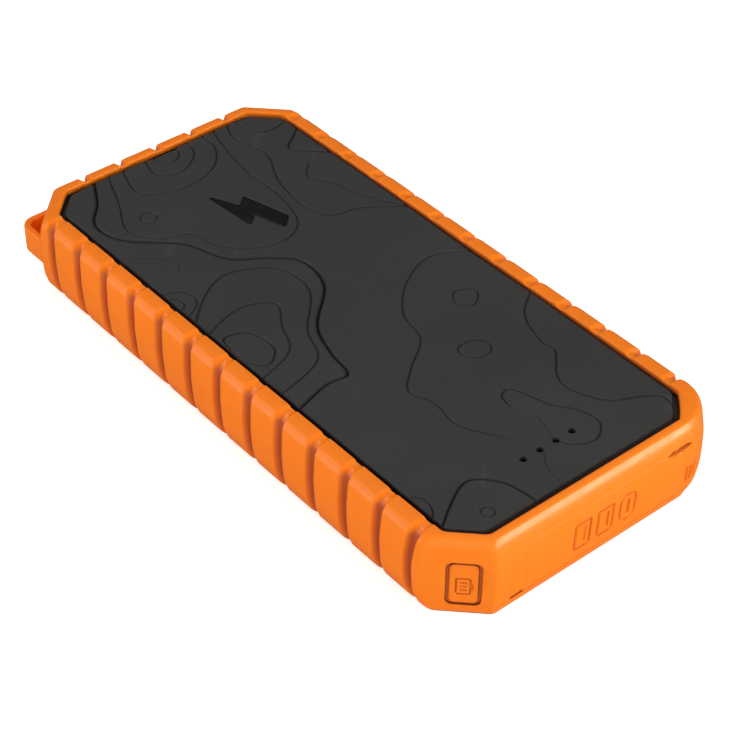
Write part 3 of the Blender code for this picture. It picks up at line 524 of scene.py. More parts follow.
def make_bumper():
    """Closed skin: up the outside, over the lip, down the inside and back along the underside."""
    rings = [bumper_ring(0.0, LOWER, radius=1.5)]
    for z, inset in FOOT:
        offsets = grown(skin(z), -inset)
        offsets[1] *= 0.6 if z == 0 else 1.0
        rings.append(bumper_ring(z, offsets))
    for z in WALL_Z:
        rings.append(bumper_ring(z, skin(z), DIP * float(smooth((z - 20.2) / 2.2))))
    top = skin(TOP)
    edge = grown(LIP, LIP_ROUND)
    middle = top - ROLL_INSET
    for t in (0.2, 0.4, 0.6, 0.8, 1.0):
        offsets = top * (1 - t) ** 2 + middle * 2 * t * (1 - t) + edge * t * t
        z = TOP * (1 - t) ** 2 + LIP_TOP * (2 * t * (1 - t) + t * t)
        rings.append(bumper_ring(z, offsets, DIP, radius=2.4 + 0.4 * t))
    for degrees in (65, 42, 20, 0):
        a = math.radians(degrees)
        rings.append(bumper_ring(LIP_TOP - LIP_ROUND + LIP_ROUND * math.sin(a),
                                 grown(LIP, LIP_ROUND * (1 - math.cos(a))), DIP * 0.9, radius=2.8))
    rings.append(bumper_ring(LIP_BOTTOM, LIP, radius=2.8))
    rings.append(bumper_ring(LIP_BOTTOM, INNER))
    rings.append(bumper_ring(SHELF_Z, INNER))
    rings.append(bumper_ring(SHELF_Z, LOWER, radius=1.5))
    rings = np.array(rings, float)
    ob = new_object("bumper_skin", *loft(rings[..., :3], closed=True), "orange_rubber", 40.0)
    # weights of the painted shade in the grooves, read by the orange rubber's material
    marks = ob.data.attributes.new("groove", "FLOAT", "POINT")
    marks.data.foreach_set("value", rings[..., 3].ravel())
    return ob


def door_pocket():
    """Cutter for the opening behind the door, with a seam all round."""
    steps, outer_radius, inner_radius = 28, 18, 9.8
    turns = [math.radians((TAB_ANGLE + 0.55) * i / steps) for i in range(steps + 1)]
    outer, inner = ([(ARC_X + r * math.cos(a), ARC_Y + r * math.sin(a)) for a in turns]
                    for r in (outer_radius, inner_radius))
    start = DOOR_START - SEAM
    plan = [(outer[0][0], start)] + outer + inner[::-1] + [(ARC_X + inner_radius, start)]
    heights = (DOOR_Z0 - SEAM, DOOR_Z1 + SEAM)
    return new_object("cut_pocket", *loft([[(x, y, z) for x, y in plan] for z in heights]))


# columns: outwards through the +x -y corner, along that corner's face, up
BUTTON_AXES = Matrix(((1 / ROOT2, 1 / ROOT2, 0, 0), (-1 / ROOT2, 1 / ROOT2, 0, 0),
                      (0, 0, 1, 0), (0, 0, 0, 1)))


def button_point(out, t, z):
    """CAD place of a point given from the button's centre line."""
    return tuple(BUTTON_AXES @ Vector((out, BUTTON_T + t, BUTTON_Z + z)))


def button_loft(name, sections):
    """Stack of rounded rectangles along the button's axis: distance, half t, half z, radius."""
    return new_object(name, *loft([[button_point(out, *p) for p in rounded_rect(w, h, r)]
                                   for out, w, h, r in sections]))


def button_window():
    rows = [  # distance, clearance round the button, corner radius
        (78.0, 1.3, 1.9), (82.74, 1.3, 1.9), (82.75, 0.72, 1.6), (83.0, 0.72, 1.6),
        (83.15, 0.73, 1.62), (83.3, 0.77, 1.66), (83.45, 0.86, 1.72), (83.6, 1.02, 1.85),
        (83.8, 1.3, 2.1), (90.0, 3.0, 2.6)]
    return button_loft("cut_window", [(out, BUTTON_W + gap, BUTTON_H + gap, r)
                                      for out, gap, r in rows])


def notch_cutter():
    """Pointed slot above the door, cut in from +x."""
    n, floor_x, outer_x = 16, 86.87, 92.0
    places = [2 * i / n - 1 for i in range(n + 1)]
    upper = [(NOTCH_Y + NOTCH_HALF * p, NOTCH_Z + NOTCH_TALL * (1 - p ** 2)) for p in places]
    outline = upper + [(y, 2 * NOTCH_Z - z) for y, z in upper[-2:0:-1]]
    return new_object("cut_notch", *loft([[(x, y, z) for y, z in outline]
                                          for x in (floor_x, outer_x)]))


def carry_loop():
    """Flat upright band with rounded edges round the -x -y corner."""
    outer_x, outer_y, half_thick, z0, z1 = -86.9, -42.4, 1.9 / 2, 8.0, 15.8
    x, y = outer_x + half_thick, outer_y + half_thick
    path = [(x, -28.0), (x, -31.0), (x, -34.0)]
    path += corner_arc((x, -28.0), (x, y), (-74.0, y), 3.2, 12)
    path += [(-79.0, y), (-76.5, y), (-74.0, y)]
    path = np.array(path)
    rings = []
    for i, p in enumerate(path):
        along = path[min(len(path) - 1, i + 1)] - path[max(0, i - 1)]
        along = along / np.linalg.norm(along)
        rings.append([(p[0] + along[1] * q[0], p[1] - along[0] * q[0], (z0 + z1) / 2 + q[1])
                      for q in rounded_rect(half_thick, (z1 - z0) / 2, 0.55, 4)])
    return new_object("join_loop", *loft(rings))


bumper = make_bumper()
apply_booleans(bumper, [(notch_cutter(), "DIFFERENCE"), (carry_loop(), "UNION"),
                        (door_pocket(), "DIFFERENCE"), (button_window(), "DIFFERENCE")])
finish_cut(bumper, 38.0, "orange_rubber")
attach(bumper, "housing")
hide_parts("bumper")

# ------------------------------------------------------------------ port door with its living hinge
FRONT_STEPS, TAB_STEPS = 300, 84
WEB_START = -25.3


def door_path(z):
    """Outer plan path of the door at a height: in y along the front, then round the corner."""
    side, rib, front, _, front_corner, _, bulge = skin(z)
    front_x = FRONT + front
    fine = tab_corner(front_x, HALF_W + side + rib, front_chamfer(front_corner), bulge, 240)
    turn = np.degrees(np.arctan2(fine[:, 1] - ARC_Y, fine[:, 0] - ARC_X))
    path = [(front_x, DOOR_START + (ARC_Y - DOOR_START) * i / FRONT_STEPS)
            for i in range(FRONT_STEPS)]
    for a in np.linspace(0, TAB_ANGLE, TAB_STEPS + 1):
        k = int(np.clip(np.searchsorted(turn, a), 1, len(fine) - 1))
        t = (a - turn[k - 1]) / max(1e-9, turn[k] - turn[k - 1])
        path.append(tuple(fine[k - 1] + (fine[k] - fine[k - 1]) * min(max(t, 0), 1)))
    return np.array(path)


def hinge_web(s, end, soft):
    """1 over the hinge's web, 0 beyond it."""
    return smooth((s - WEB_START) / soft) * (1 - smooth((s - end) / soft))


def door_relief(s, z):
    """How far the door's skin is sunk. s is y along the front, then the length round the tab."""
    sunk = []
    # three port pictograms: centre, corner radius, shift of the inner bar
    for centre, radius, shift in ((-4.2, 0.5, 0.55), (3.0, 0.5, 0.55), (10.2, 2.0, 0.0)):
        sunk.append(stroke(box_distance(s, z, centre, 9.7, 2.35, 4.0, radius), 0.45, 0.45))
        bar = box_distance(s, z, centre + shift, 9.7, 0.28, 2.3, 0.26)
        sunk.append(stroke(np.maximum(bar, 0), 0.32, 0.4))
    # leaning grip lines on the tab
    for k in range(3):
        line = box_distance(s + (z - 7.8) * 0.10, z, 30.0 + 1.5 * k, 7.8, 0.26, 2.4, 0.25)
        sunk.append(pit(line, 0.36, 0.5))
    # hinge: two faint lines with a thinner web between
    for y in (-25.1, -21.6):
        sunk.append(stroke(s - y, 0.4, 0.16))
    sunk.append(0.10 * hinge_web(s, -22.0, 0.4))
    # short slit at the foot of the hinge
    sunk.append(pit(box_distance(s, z, -23.7, 2.75, 1.7, 0.5, 0.3), 0.24, 0.75, -0.12))
    # fingernail notch
    room = NOTCH_TALL * (1 - ((s - NOTCH_Y) / NOTCH_HALF) ** 2) - np.abs(z - NOTCH_Z)
    sunk.append(1.2 * smooth(room / 0.3) * (room > 0))
    return np.maximum.reduce(sunk)


def make_door():
    ease = 0.45 * (1 - np.cos(np.linspace(0, math.pi / 2, 6)))   # closer rows at both edges
    zs = np.unique(np.concatenate([
        DOOR_Z0 + ease, np.arange(DOOR_Z0 + 0.62, DOOR_Z1 - 0.5, 0.19), DOOR_Z1 - ease]))
    outer = np.array([door_path(z) for z in zs])   # row, station, x and y
    rows, columns = outer.shape[:2]
    gaps = np.linalg.norm(np.diff(outer[rows // 2], axis=0), axis=1)
    s = DOOR_START + np.concatenate([[0], np.cumsum(gaps)])
    turn = np.concatenate([np.zeros(FRONT_STEPS),
                           np.radians(np.linspace(0, TAB_ANGLE, TAB_STEPS + 1))])
    outward = np.stack([np.cos(turn), np.sin(turn)], 1)
    S, Z = np.meshgrid(s, zs)
    # the rim is rounded, but hardly at the hinge end
    edge = np.minimum(np.minimum(Z - DOOR_Z0, DOOR_Z1 - Z),
                      np.minimum(S - DOOR_START + 0.25, s[-1] - S))
    sink = door_relief(S, Z) + eased_edge(edge, 0.09, 0.09)
    skin_xy = outer - outward[None] * sink[..., None]
    points = np.concatenate([skin_xy, Z[..., None]], 2).reshape(-1, 3)
    faces = grid_faces(rows, columns)
    # inner skin: six rows with the same stations
    inner_z = [DOOR_Z0, DOOR_Z0 + 0.3, 7.3, 13.9, DOOR_Z1 - 0.3, DOOR_Z1]
    base, inner_rows = len(points), len(inner_z)
    radius = DOOR_INNER_X - ARC_X
    inner_x = ARC_X + radius * np.cos(turn) + 0.72 * hinge_web(s, -22.1, 0.5)
    inner_y = np.where(turn > 0, ARC_Y + radius * np.sin(turn), outer[0][:, 1])
    inner = [(x, y, z) for z in inner_z for x, y in zip(inner_x, inner_y)]
    points = np.concatenate([points, np.array(inner)])
    faces += [(base + a, base + d, base + c, base + b)
              for a, b, c, d in grid_faces(inner_rows, columns)]
    # bottom and top edges, then the two ends
    top, inner_top = (rows - 1) * columns, base + (inner_rows - 1) * columns
    for i in range(columns - 1):
        faces.append((i, base + i, base + i + 1, i + 1))
        faces.append((top + i, top + i + 1, inner_top + i + 1, inner_top + i))
    for i in (0, columns - 1):
        outside = [a * columns + i for a in range(rows)]
        inside_edge = [base + a * columns + i for a in range(inner_rows)]
        faces.append(tuple(outside + inside_edge[::-1]))
    return new_object("port_door_skin", points, faces, "orange_rubber", 40.0)


door = make_door()
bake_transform(door)
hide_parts("port_door", "door_strap")


def make_plug_pad():
    """Rounded pad on the inside of the door, softened at its face towards -x."""
    y0, y1, z0, z1 = -17.6, 26.6, 5.9, 14.5
    face_x, root_x, radius, bevel = 85.55, 86.2, 1.6, 0.3
    rows = [(root_x, 0.0)]   # x, inset
    rows += [(face_x + bevel * (1 - math.sin(a)), bevel * (1 - math.cos(a)))
             for a in np.linspace(0, math.pi / 2, 5)]
    half_y, half_z = (y1 - y0) / 2, (z1 - z0) / 2
    rings = [[(x, (y0 + y1) / 2 + p[0], (z0 + z1) / 2 + p[1])
              for p in rounded_rect(half_y - inset, half_z - inset, radius - inset, 8)]
             for x, inset in rows]
    return new_object("door_plug_pad", *loft(rings), "orange_rubber")


pad = make_plug_pad()
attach(pad, "door")


# ------------------------------------------------------------------ power button
def button_relief(t, z):
    """Battery pictogram: outline, three bars and terminal."""
    t0, z0 = -0.1, -0.7
    sunk = [stroke(box_distance(t, z, t0, z0, 1.6, 2.4, 0.4), 0.27, 0.36)]
    marks = [(t0, z0 + 1.15 * k, 0.8, 0.18, 0.16) for k in (-1, 0, 1)]
    marks.append((1.95, z0, 0.16, 0.9, 0.15))
    sunk += [pit(box_distance(t, z, *mark), 0.22, 0.32, -0.05) for mark in marks]
    return np.maximum.reduce(sunk)


def make_button():
    w, h, radius = BUTTON_W, BUTTON_H, 1.4
    nt, nz = 64, 108
    # columns lie closer together towards the edges
    bunched = np.sin(np.linspace(-math.pi / 2, math.pi / 2, nt + 1) * 0.985)
    bunched = bunched / math.sin(math.pi / 2 * 0.985) * w
    ts = 0.45 * bunched + 0.55 * np.linspace(-w, w, nt + 1)
    T, Z = np.meshgrid(ts, np.linspace(-h, h, nz + 1))
    # squeeze the grid's corners onto the rounded outline
    past = np.abs(Z) - (h - radius)
    rounded = w - radius + np.sqrt(np.clip(radius ** 2 - past ** 2, 0, None))
    T = T / w * np.where(np.abs(Z) > h - radius, rounded, w)
    edge = -box_distance(T, Z, 0, 0, w, h, radius)
    out = BUTTON_FACE - eased_edge(edge, 0.55, 0.45) - button_relief(T, Z)
    columns = nt + 1
    points = [button_point(out[a, i], T[a, i], Z[a, i])
              for a in range(nz + 1) for i in range(columns)]
    faces = grid_faces(nz + 1, columns)
    # the border of the grid, once round, then a skirt down to the flange
    loop = [(0, i) for i in range(columns)] + [(a, nt) for a in range(1, nz + 1)]
    loop += [(nz, i) for i in range(nt - 1, -1, -1)] + [(a, 0) for a in range(nz - 1, 0, -1)]
    border = [a * columns + i for a, i in loop]
    base, m = len(points), len(border)
    points += [button_point(82.0, T[a, i], Z[a, i]) for a, i in loop]
    faces += [(border[k], border[(k + 1) % m], base + (k + 1) % m, base + k) for k in range(m)]
    faces.append(tuple(base + k for k in range(m)))
    ob = new_object("power_button_cap", points, faces, "orange_rubber", 40.0)
    flange = button_loft("join_flange", [(out, w + 0.95, h + 0.95, 1.7)
                                         for out in (81.95, 82.45)])
    stem = button_loft("join_stem", [(78.75, 1.4, 1.4, 0.5), (78.9, 1.6, 1.6, 0.5),
                                     (82.2, 1.6, 1.6, 0.5)])
    apply_booleans(ob, [(flange, "UNION"), (stem, "UNION")])
    finish_cut(ob, 40.0, "orange_rubber")
    return ob


button = make_button()
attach(button, "button")
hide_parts("power_button")

# ------------------------------------------------------------------ lid with its engraved lines
# contour lines of an imagined hillside: points, closed, widths of the steep and the gentle
# flank, depth
LINES = [
    ([(-84, -20), (-73, -26), (-65, -32), (-55, -30), (-44, -19), (-32, -14), (-26, -6), (-19, 0),
      (-8, -2), (3, -13), (13, -17), (22, -19), (22, -26), (26, -40)], False, 0.5, 0.75, 0.80),
    ([(-84, 19), (-76, 16), (-60, 13), (-46, 13), (-34, 10), (-29, 3), (-31, -6), (-38, -13),
      (-46, -15), (-50, -23), (-58, -27), (-69, -22), (-84, -16)], False, 0.3, 0.5, 0.36),
    ([(-84, 24), (-75, 20), (-63, 22), (-51, 17), (-38, 15), (-30, 18), (-27, 27), (-17, 40)],
     False, 0.3, 0.5, 0.36),
    ([(-12, -40), (-23, -28), (-27, -18), (-21, -7), (-9, -6), (3, -16), (14, -22), (19, -40)],
     False, 0.3, 0.5, 0.38),
    ([(-9, -40), (-14, -25), (-10, -16), (-2, -20), (7, -25), (12, -40)], False, 0.3, 0.5, 0.36),
    ([(-7, -34), (-5, -28), (3, -26.5), (7.5, -31), (5, -34.5), (-1, -35.2)],
     True, 0.3, 0.5, 0.42),
    ([(-84, 8), (-76, 7.5), (-70.5, 0), (-73, -6.5), (-79, -6), (-84, -4)], False, 0.3, 0.5, 0.38),
    ([(-84, 4.5), (-78, 4), (-75.5, 0), (-78, -3), (-84, -2)], False, 0.3, 0.5, 0.38),
    ([(-84, 13.5), (-74, 13), (-66, 6), (-64, -6), (-69, -15), (-77, -14), (-84, -11)],
     False, 0.3, 0.5, 0.38),
    ([(-60.5, -21), (-61.5, -18.5), (-58, -17.5), (-56.5, -20.5), (-58.5, -22)],
     True, 0.25, 0.4, 0.28),
    ([(-52, -40), (-46, -31), (-40, -25), (-36, -27), (-38, -33), (-43, -40)],
     False, 0.25, 0.45, 0.24),
    ([(-32, -40), (-28, -31), (-22, -31), (-17, -40)], False, 0.25, 0.45, 0.32),
    ([(-29, -40), (-27, -34), (-23, -34), (-21, -40)], False, 0.25, 0.45, 0.32),
    ([(-84, 25.5), (-78, 25), (-72, 27.5), (-71.5, 33), (-74, 40)], False, 0.3, 0.45, 0.34),
    ([(-70, 40), (-65, 33), (-61, 28.5), (-56, 32.5), (-49, 40)], False, 0.4, 0.6, 0.5),
    ([(-52, 28), (-47, 24), (-40, 28), (-32, 30), (-22, 35), (-16, 40)], False, 0.25, 0.45, 0.3),
    ([(8, 40), (0, 27), (4, 15), (13, 6), (23, 3), (30, -6), (36, -12), (43, -10), (52, -11),
      (60, -7)], False, 0.3, 0.5, 0.36),
    ([(24, 40), (32, 29), (42, 25), (47, 25), (54, 19), (60, 18), (68, 22), (72, 29), (76, 33),
      (86, 30)], False, 0.3, 0.5, 0.38),
    ([(54, 2.8), (51, 3.8), (50.2, 6.4), (53, 8.2), (60, 10.4), (66.5, 14.5), (72.5, 15),
      (76, 10), (73.5, 4.5), (69, 3)], False, 0.3, 0.5, 0.38),
    ([(78, -40), (71, -30), (67.5, -22), (72, -16.5), (78, -14.5), (86, -14)],
     False, 0.35, 0.55, 0.55),
    ([(61, -40), (65, -33.5), (70.5, -34.5), (74, -40)], False, 0.3, 0.45, 0.38),
    ([(14.5, 21.5), (17.5, 26), (21.5, 22), (18.5, 18.5)], True, 0.25, 0.4, 0.3),
    ([(31.5, 7.5), (31.3, 11.8), (34.5, 14.6), (37.6, 12.6), (37.2, 8.6), (34.2, 6.4)],
     True, 0.25, 0.45, 0.32),
    ([(77, -26.5), (76.3, -24.8), (77.6, -23.3), (79.3, -24.1), (79.2, -26)],
     True, 0.22, 0.32, 0.26),
    ([(62.5, 5), (67, 3.8), (69, 2.8)], False, 0.16, 0.22, 0.16),
    ([(71.7, -2.2), (76, -5), (84, -6.2)], False, 0.16, 0.22, 0.16),
]
STEEP_GAIN, GENTLE_GAIN, DEPTH_GAIN = 1.2, 1.35, 1.1   # strengthen every line of the table
# areas ringed by a line that lie a little lower than the panel: index into LINES and depth
POOLS = [(5, 0.12), (7, 0.1)]
LINE_STEP = 0.55
# lightning bolt before it is turned, its place on the lid and its depth
BOLT = [(1.2, 11.5), (6.6, 11.5), (2.6, 2.6), (7.2, 2.6), (-4.4, -12.5), (-1.2, -2.0),
        (-5.6, -2.0)]
EMBLEM_PLACE, EMBLEM_TURN, EMBLEM_DEPTH = (-46.0, 2.5), -48, 0.32


def spline(points, closed):
    """Catmull-Rom curve through the given points, at an even spacing."""
    p = [np.array(q, float) for q in points]
    if closed:
        padded = [p[-1]] + p + p[:2]
    else:
        padded = [p[0] * 2 - p[1]] + p + [p[-1] * 2 - p[-2]]
    curve = []
    for a, b, c, d in zip(padded, padded[1:], padded[2:], padded[3:]):
        for t in np.linspace(0, 1, 24, endpoint=False):
            curve.append(0.5 * (2 * b + (c - a) * t + (2 * a - 5 * b + 4 * c - d) * t * t
                                + (3 * b - a - 3 * c + d) * t ** 3))
    curve.append(curve[0] if closed else p[-1])
    curve = np.array(curve)
    run = np.concatenate([[0], np.cumsum(np.linalg.norm(np.diff(curve, axis=0), axis=1))])
    t = np.linspace(0, run[-1], max(4, int(run[-1] / LINE_STEP)) + 1)
    return np.stack([np.interp(t, run, curve[:, 0]), np.interp(t, run, curve[:, 1])], 1)


def emblem_outline(grow):
    """The bolt with eased corners, turned, offset outwards and put in its place."""
    bolt = np.array(BOLT)
    out = []
    for i in range(len(bolt)):
        out += corner_arc(bolt[i - 1], bolt[i], bolt[(i + 1) % len(bolt)], 0.5, 3)
    a = math.radians(EMBLEM_TURN)
    out = np.array(out) @ np.array([[math.cos(a), math.sin(a)], [-math.sin(a), math.cos(a)]])
    after = np.roll(out, -1, 0)
    area = 0.5 * np.sum(out[:, 0] * after[:, 1] - after[:, 0] * out[:, 1])
    along = after - np.roll(out, 1, 0)
    normal = np.stack([along[:, 1], -along[:, 0]], 1) / np.linalg.norm(along, axis=1)[:, None]
    return out + normal * grow * np.sign(area) + np.array(EMBLEM_PLACE)


def signed_distance(pts, line):
    """Distance of points to a line, negative on its left."""
    best = np.full(len(pts), 1e9)
    sign = np.ones(len(pts))
    for a, b in zip(line[:-1], line[1:]):
        # only points close to this short piece matter
        near = (np.abs(pts[:, 0] - (a[0] + b[0]) / 2)
                + np.abs(pts[:, 1] - (a[1] + b[1]) / 2)) < 5.0
        if not near.any():
            continue
        q = pts[near]
        d = b - a
        t = np.clip(((q - a) @ d) / (d @ d), 0, 1)
        off = q - (a + t[:, None] * d)
        dist = np.linalg.norm(off, axis=1)
        side = np.sign(d[0] * off[:, 1] - d[1] * off[:, 0])
        index = np.where(near)[0]
        closer = dist < best[index] - 1e-9
        best[index[closer]] = dist[closer]
        sign[index[closer]] = -side[closer]
    return best * np.where(sign == 0, 1, sign)


def outline_distance(pts, outline):
    return np.abs(signed_distance(pts, np.vstack([outline, outline[:1]])))


def flank(dist, steep, gentle, depth):
    """Asymmetric groove: drops over the steep flank and climbs back over the gentle one."""
    left = np.clip(1 + dist / steep, 0, 1)
    right = np.clip(1 - dist / gentle, 0, 1)
    return depth * np.where(dist < 0, smooth(left), right ** 1.4)


def lid_outline(grow):
    corners = octagon(grow, grow, grow, grow, grow)
    out = []
    for i in range(8):
        out += corner_arc(corners[i - 1], corners[i], corners[(i + 1) % 8], 2.5 + grow * 0.8, 8)
    return np.array(out)


def inside(pts, outline):
    x, y = pts[:, 0], pts[:, 1]
    result = np.zeros(len(pts), bool)
    for (x0, y0), (x1, y1) in zip(outline, np.roll(outline, -1, 0)):
        crossing_x = (x1 - x0) * (y - y0) / (y1 - y0 + 1e-12) + x0
        result ^= ((y0 > y) != (y1 > y)) & (x < crossing_x)
    return result


def triangulate_lid(curves, border):
    """Plan points and triangles whose edges follow every engraved line."""
    verts, edges = [], []

    def add(line, closed=True):
        base = len(verts)
        verts.extend((float(x), float(y)) for x, y in line)
        edges.extend((base + i, base + i + 1) for i in range(len(line) - 1))
        if closed:
            edges.append((base + len(line) - 1, base))

    add(border)
    for grow in (0.02, -0.12, -0.3, -0.5, -0.72, -0.95, -1.1):
        add(lid_outline(grow))
    limit = lid_outline(0.6)
    for line, closed, steep, gentle, _ in curves:
        core = line[:-1] if closed else line
        if closed:
            along = np.roll(core, -1, 0) - np.roll(core, 1, 0)
        else:
            along = np.gradient(core, axis=0)
        normal = np.stack([along[:, 1], -along[:, 0]], 1)
        normal /= np.linalg.norm(normal, axis=1)[:, None]
        for off in (-steep - 0.12, -steep, -steep * 0.66, -steep * 0.33, 0.0,
                    gentle * 0.3, gentle * 0.65, gentle, gentle + 0.12):
            row = core + normal * off
            # keep the runs of points that lie on the lid
            keep = np.concatenate([[0], inside(row, limit), [0]])
            for start, stop in np.flatnonzero(np.diff(keep)).reshape(-1, 2):
                if stop - start > 1:
                    add(row[start:stop], closed and stop - start == len(row))
    for grow in (0.0, 0.14, 0.26, -0.05):
        add(emblem_outline(grow))
    turn = np.linspace(0, 2 * math.pi, 24, endpoint=False)
    for y in LED_Y:
        for r in (0.97, 1.05, 1.13, 1.22):
            add(np.stack([LED_X + r * np.cos(turn), y + r * np.sin(turn)], 1))
    # a few rows of plain points keep the flat areas' triangles tidy
    grid_x, grid_y = np.meshgrid(np.arange(-78, 82, 6.0), np.arange(-33, 34, 6.0))
    verts.extend((float(x), float(y)) for x, y in zip(grid_x.ravel(), grid_y.ravel()))
    flat, _, triangles, *_ = delaunay_2d_cdt([Vector(v) for v in verts], edges, [], 1, 1e-5)
    return np.array([(v.x, v.y) for v in flat]), triangles


def lid_drop(plan, curves):
    """How far each plan point lies below the panel."""
    drop = np.zeros(len(plan))
    for line, _, steep, gentle, depth in curves:
        drop = np.maximum(drop, flank(signed_distance(plan, line), steep, gentle, depth))
    for k, depth in POOLS:
        drop = np.where(inside(plan, curves[k][0][:-1]), np.maximum(drop, depth), drop)
    outline = emblem_outline(0.0)
    dist = outline_distance(plan, outline)
    within = inside(plan, outline)
    drop = np.where(within, EMBLEM_DEPTH, drop)
    drop = np.where(~within & (dist < 0.2), pit(dist, 0.14, EMBLEM_DEPTH), drop)
    for y in LED_Y:
        drop = np.maximum(drop, pit(np.hypot(plan[:, 0] - LED_X, plan[:, 1] - y), 0.2, 0.1, 0.95))
    # eased edge of the panel
    rim = lid_outline(0.0)
    edge = np.where(inside(plan, rim), outline_distance(plan, rim), 0.0)
    return drop + eased_edge(edge, 0.95, 0.6)


def relief_cutter():
    """Block above the lid whose underside carries the lines."""
    curves = [(spline(points, closed), closed, steep * STEEP_GAIN, gentle * GENTLE_GAIN,
               depth * DEPTH_GAIN) for points, closed, steep, gentle, depth in LINES]
    border = [(-92, -46), (94, -46), (94, 46), (-92, 46)]
    plan, triangles = triangulate_lid(curves, border)
    z = TOP - 0.02 - lid_drop(plan, curves)
    points = [(x, y, height) for (x, y), height in zip(plan, z)]
    faces = [tuple(f) for f in triangles]
    corner = [int(np.argmin(np.hypot(plan[:, 0] - x, plan[:, 1] - y))) for x, y in border]
    base = len(points)
    points += [(x, y, 26.0) for x, y in border]
    faces.append((base, base + 1, base + 2, base + 3))
    for k in range(4):
        j = (k + 1) % 4
        faces.append((corner[k], corner[j], base + j, base + k))
    return new_object("cut_relief", points, faces)


def make_lid():
    """A copy of the CAD lid, cut down to the relief surface."""
    relief = relief_cutter()
    mesh = NODES["top_cover"].data.copy()
    ob = bpy.data.objects.new("top_cover_skin", mesh)
    SCENE.collection.objects.link(ob)
    ob.matrix_world = NODES["top_cover"].matrix_world.copy()
    bm = bmesh.new()
    bm.from_mesh(mesh)
    bmesh.ops.remove_doubles(bm, verts=bm.verts, dist=0.000001)
    bm.to_mesh(mesh)
    bm.free()
    apply_booleans(ob, [(relief, "DIFFERENCE")])
    finish_cut(ob, 24.0, "dark_plastic")
    # large flat areas keep their own normals beside the engraved lines
    even = ob.modifiers.new("even", "WEIGHTED_NORMAL")
    even.keep_sharp = True
    even.weight = 90
    return ob


lid = make_lid()
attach(lid, "housing")
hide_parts("top_cover")

# glossy bolt in its recess: depth below the lid's top, growth of the outline
emblem_rings = [[(x, y, TOP - depth) for x, y in emblem_outline(grow)]
                for depth, grow in ((0.345, -0.05), (0.20, -0.05), (0.16, -0.12))]
emblem = new_object("lid_emblem", *loft(emblem_rings), "emblem_gloss")
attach(emblem, "housing")


# ------------------------------------------------------------------ stage
def floor_material():
    """White floor that glows a little to the camera and is clear from below."""
    material, tree, bsdf = principled("stage_white")
    rays = add_node(tree, "LightPath").outputs
    glow = add_node(tree, "Math", {0: rays["Is Camera Ray"], 1: 0.55}, operation="MULTIPLY")
    # light that creeps in under the object keeps its underside from going black
    creep = add_node(tree, "MapRange", {"Value": rays["Ray Length"], "From Max": 0.003,
                                        "To Min": 0.7, "To Max": 0.0})
    strength = add_node(tree, "Math", {0: rays["Is Diffuse Ray"], 1: creep.outputs["Result"],
                                       2: glow.outputs[0]}, operation="MULTIPLY_ADD")
    feed(tree, bsdf, {
        "Base Color": (0.93, 0.93, 0.93, 1),
        "Roughness": 0.85,
        "Specular IOR Level": 0.1,
        "Emission Strength": strength.outputs[0],
        "Emission Color": (1, 1, 1, 1),
    })
    side = add_node(tree, "NewGeometry")
    clear = add_node(tree, "BsdfTransparent")
    pick = add_node(tree, "MixShader", {0: side.outputs["Backfacing"], 1: bsdf.outputs[0],
                                        2: clear.outputs[0]})
    output = next(n for n in tree.nodes if n.type == "OUTPUT_MATERIAL")
    feed(tree, output, {"Surface": pick.outputs[0]})
    return material


def make_floor():
    half, z = 1.6, -0.00005
    mesh = bpy.data.meshes.new("floor")
    bm = bmesh.new()
    bm.faces.new([bm.verts.new((x * half, y * half, z))
                  for x, y in ((-1, -1), (1, -1), (1, 1), (-1, 1))])
    bm.to_mesh(mesh)
    bm.free()
    ob = bpy.data.objects.new("stage_floor", mesh)
    SCENE.collection.objects.link(ob)
    mesh.materials.append(floor_material())
    ob.visible_glossy = False
    return ob


make_floor()


def make_world():
    """Even white light that is dim in reflections, as in a dark studio, and plain to the camera."""
    world = bpy.data.worlds.new("studio")
    SCENE.world = world
    world.use_nodes = True
    tree = world.node_tree
    rays = add_node(tree, "LightPath").outputs
    dim = add_node(tree, "MapRange", {"Value": rays["Is Glossy Ray"], "To Min": 0.40,
                                      "To Max": 0.14})
    plain = add_node(tree, "MapRange", {"Value": rays["Is Camera Ray"],
                                        "To Min": dim.outputs["Result"], "To Max": 1.0})
    feed(tree, tree.nodes["Background"], {0: (1.0, 1.0, 1.0, 1.0), 1: plain.outputs["Result"]})


make_world()


# ------------------------------------------------------------------ lights
def area(name, place, target, size, energy, color=(1, 1, 1), size_y=None):
    light = bpy.data.lights.new(name, "AREA")
    light.energy = energy
    light.size = size
    light.color = color
    if size_y:
        light.shape = "RECTANGLE"
        light.size_y = size_y
    ob = bpy.data.objects.new(name, light)
    SCENE.collection.objects.link(ob)
    ob.location = place
    ob.visible_camera = False
    ob.rotation_mode = "QUATERNION"
    ob.rotation_quaternion = (Vector(target) - Vector(place)).to_track_quat("-Z", "Y")
    return ob


key = area("key_light", place=(0.68, 0.38, 0.30), target=(0.05, 0, 0.01), size=0.4, energy=3.0,
           color=(0.96, 1.0, 0.78))
key.visible_glossy = False
low = area("low_light", place=(0.68, 0.36, 0.10), target=(0.05, 0, 0.015), size=0.55,
           size_y=0.15, energy=0.8, color=(1.0, 1.0, 0.9))
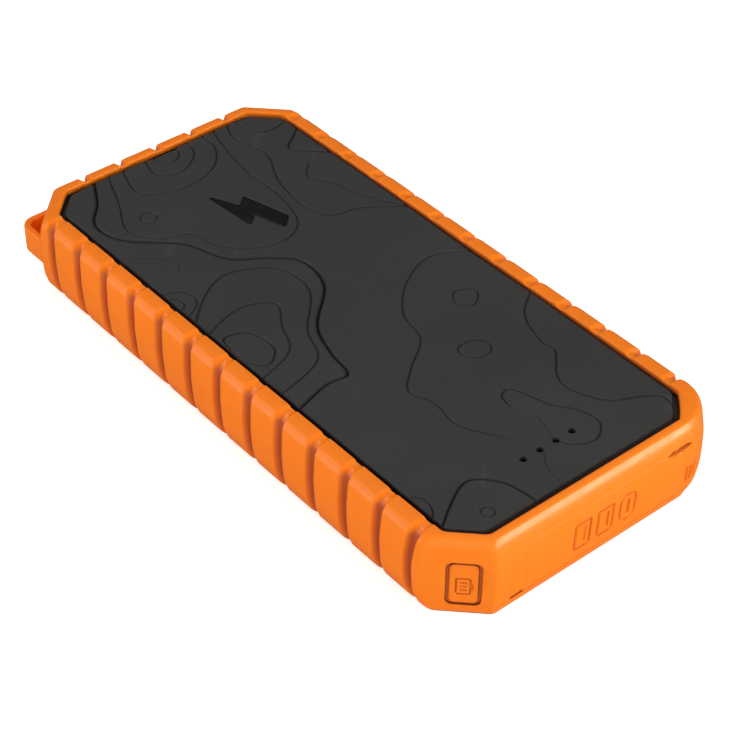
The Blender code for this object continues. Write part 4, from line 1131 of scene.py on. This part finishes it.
# only its reflection shows, along the rounded front edge
shine = area("shine_light", place=(0.68, 0.38, 0.09), target=(0.05, 0, 0.015), size=0.45,
             size_y=0.24, energy=5.0, color=(1.0, 0.95, 0.85))
shine.visible_diffuse = False
# the two low lamps reach only the rubber
rubber = bpy.data.collections.new("rubber_pieces")
for piece in (bumper, door, button):
    rubber.objects.link(piece)
for lamp in (low, shine):
    lamp.light_linking.receiver_collection = rubber
area("fill_light", place=(0.52, -0.50, 0.30), target=(0.05, 0, 0.01), size=0.7, energy=2.0,
     color=(1.0, 1.0, 0.92))
area("side_light", place=(-0.48, -0.64, 0.35), target=(0, 0, 0.01), size=0.45, energy=2.5,
     color=(1.0, 0.95, 0.95))
area("top_light", place=(-0.2, 0.15, 0.9), target=(0, 0, 0), size=0.8, energy=1.3)

# ------------------------------------------------------------------ camera
# angles round the pivot in degrees, then mm: pivot height, distance, shifts in the view plane
AZIMUTH, ELEVATION, ROLL = (math.radians(a) for a in (49.666, 40.514, 0.659))
PIVOT_Z, DISTANCE, SHIFT_RIGHT, SHIFT_UP = 22.2, 512.556, 5.97, -19.4268


def make_camera():
    back = Vector((math.sin(AZIMUTH) * math.cos(ELEVATION),
                   -math.cos(AZIMUTH) * math.cos(ELEVATION), math.sin(ELEVATION)))
    level = Vector((math.cos(AZIMUTH), math.sin(AZIMUTH), 0))
    upright = back.cross(level)
    right = level * math.cos(ROLL) + upright * math.sin(ROLL)
    up = -level * math.sin(ROLL) + upright * math.cos(ROLL)
    place = SHIFT_RIGHT * right + SHIFT_UP * up + DISTANCE * back + Vector((0, 0, PIVOT_Z))
    camera = bpy.data.cameras.new("camera")
    ob = bpy.data.objects.new("camera", camera)
    SCENE.collection.objects.link(ob)
    axes = Matrix((right, up, back)).transposed().to_4x4()
    ob.matrix_world = Matrix.Translation(place * MM) @ axes
    camera.sensor_width = 36
    camera.lens = 99.035426
    camera.clip_start = 0.01
    camera.clip_end = 10
    SCENE.camera = ob


make_camera()
SCENE.view_settings.view_transform = "Standard"
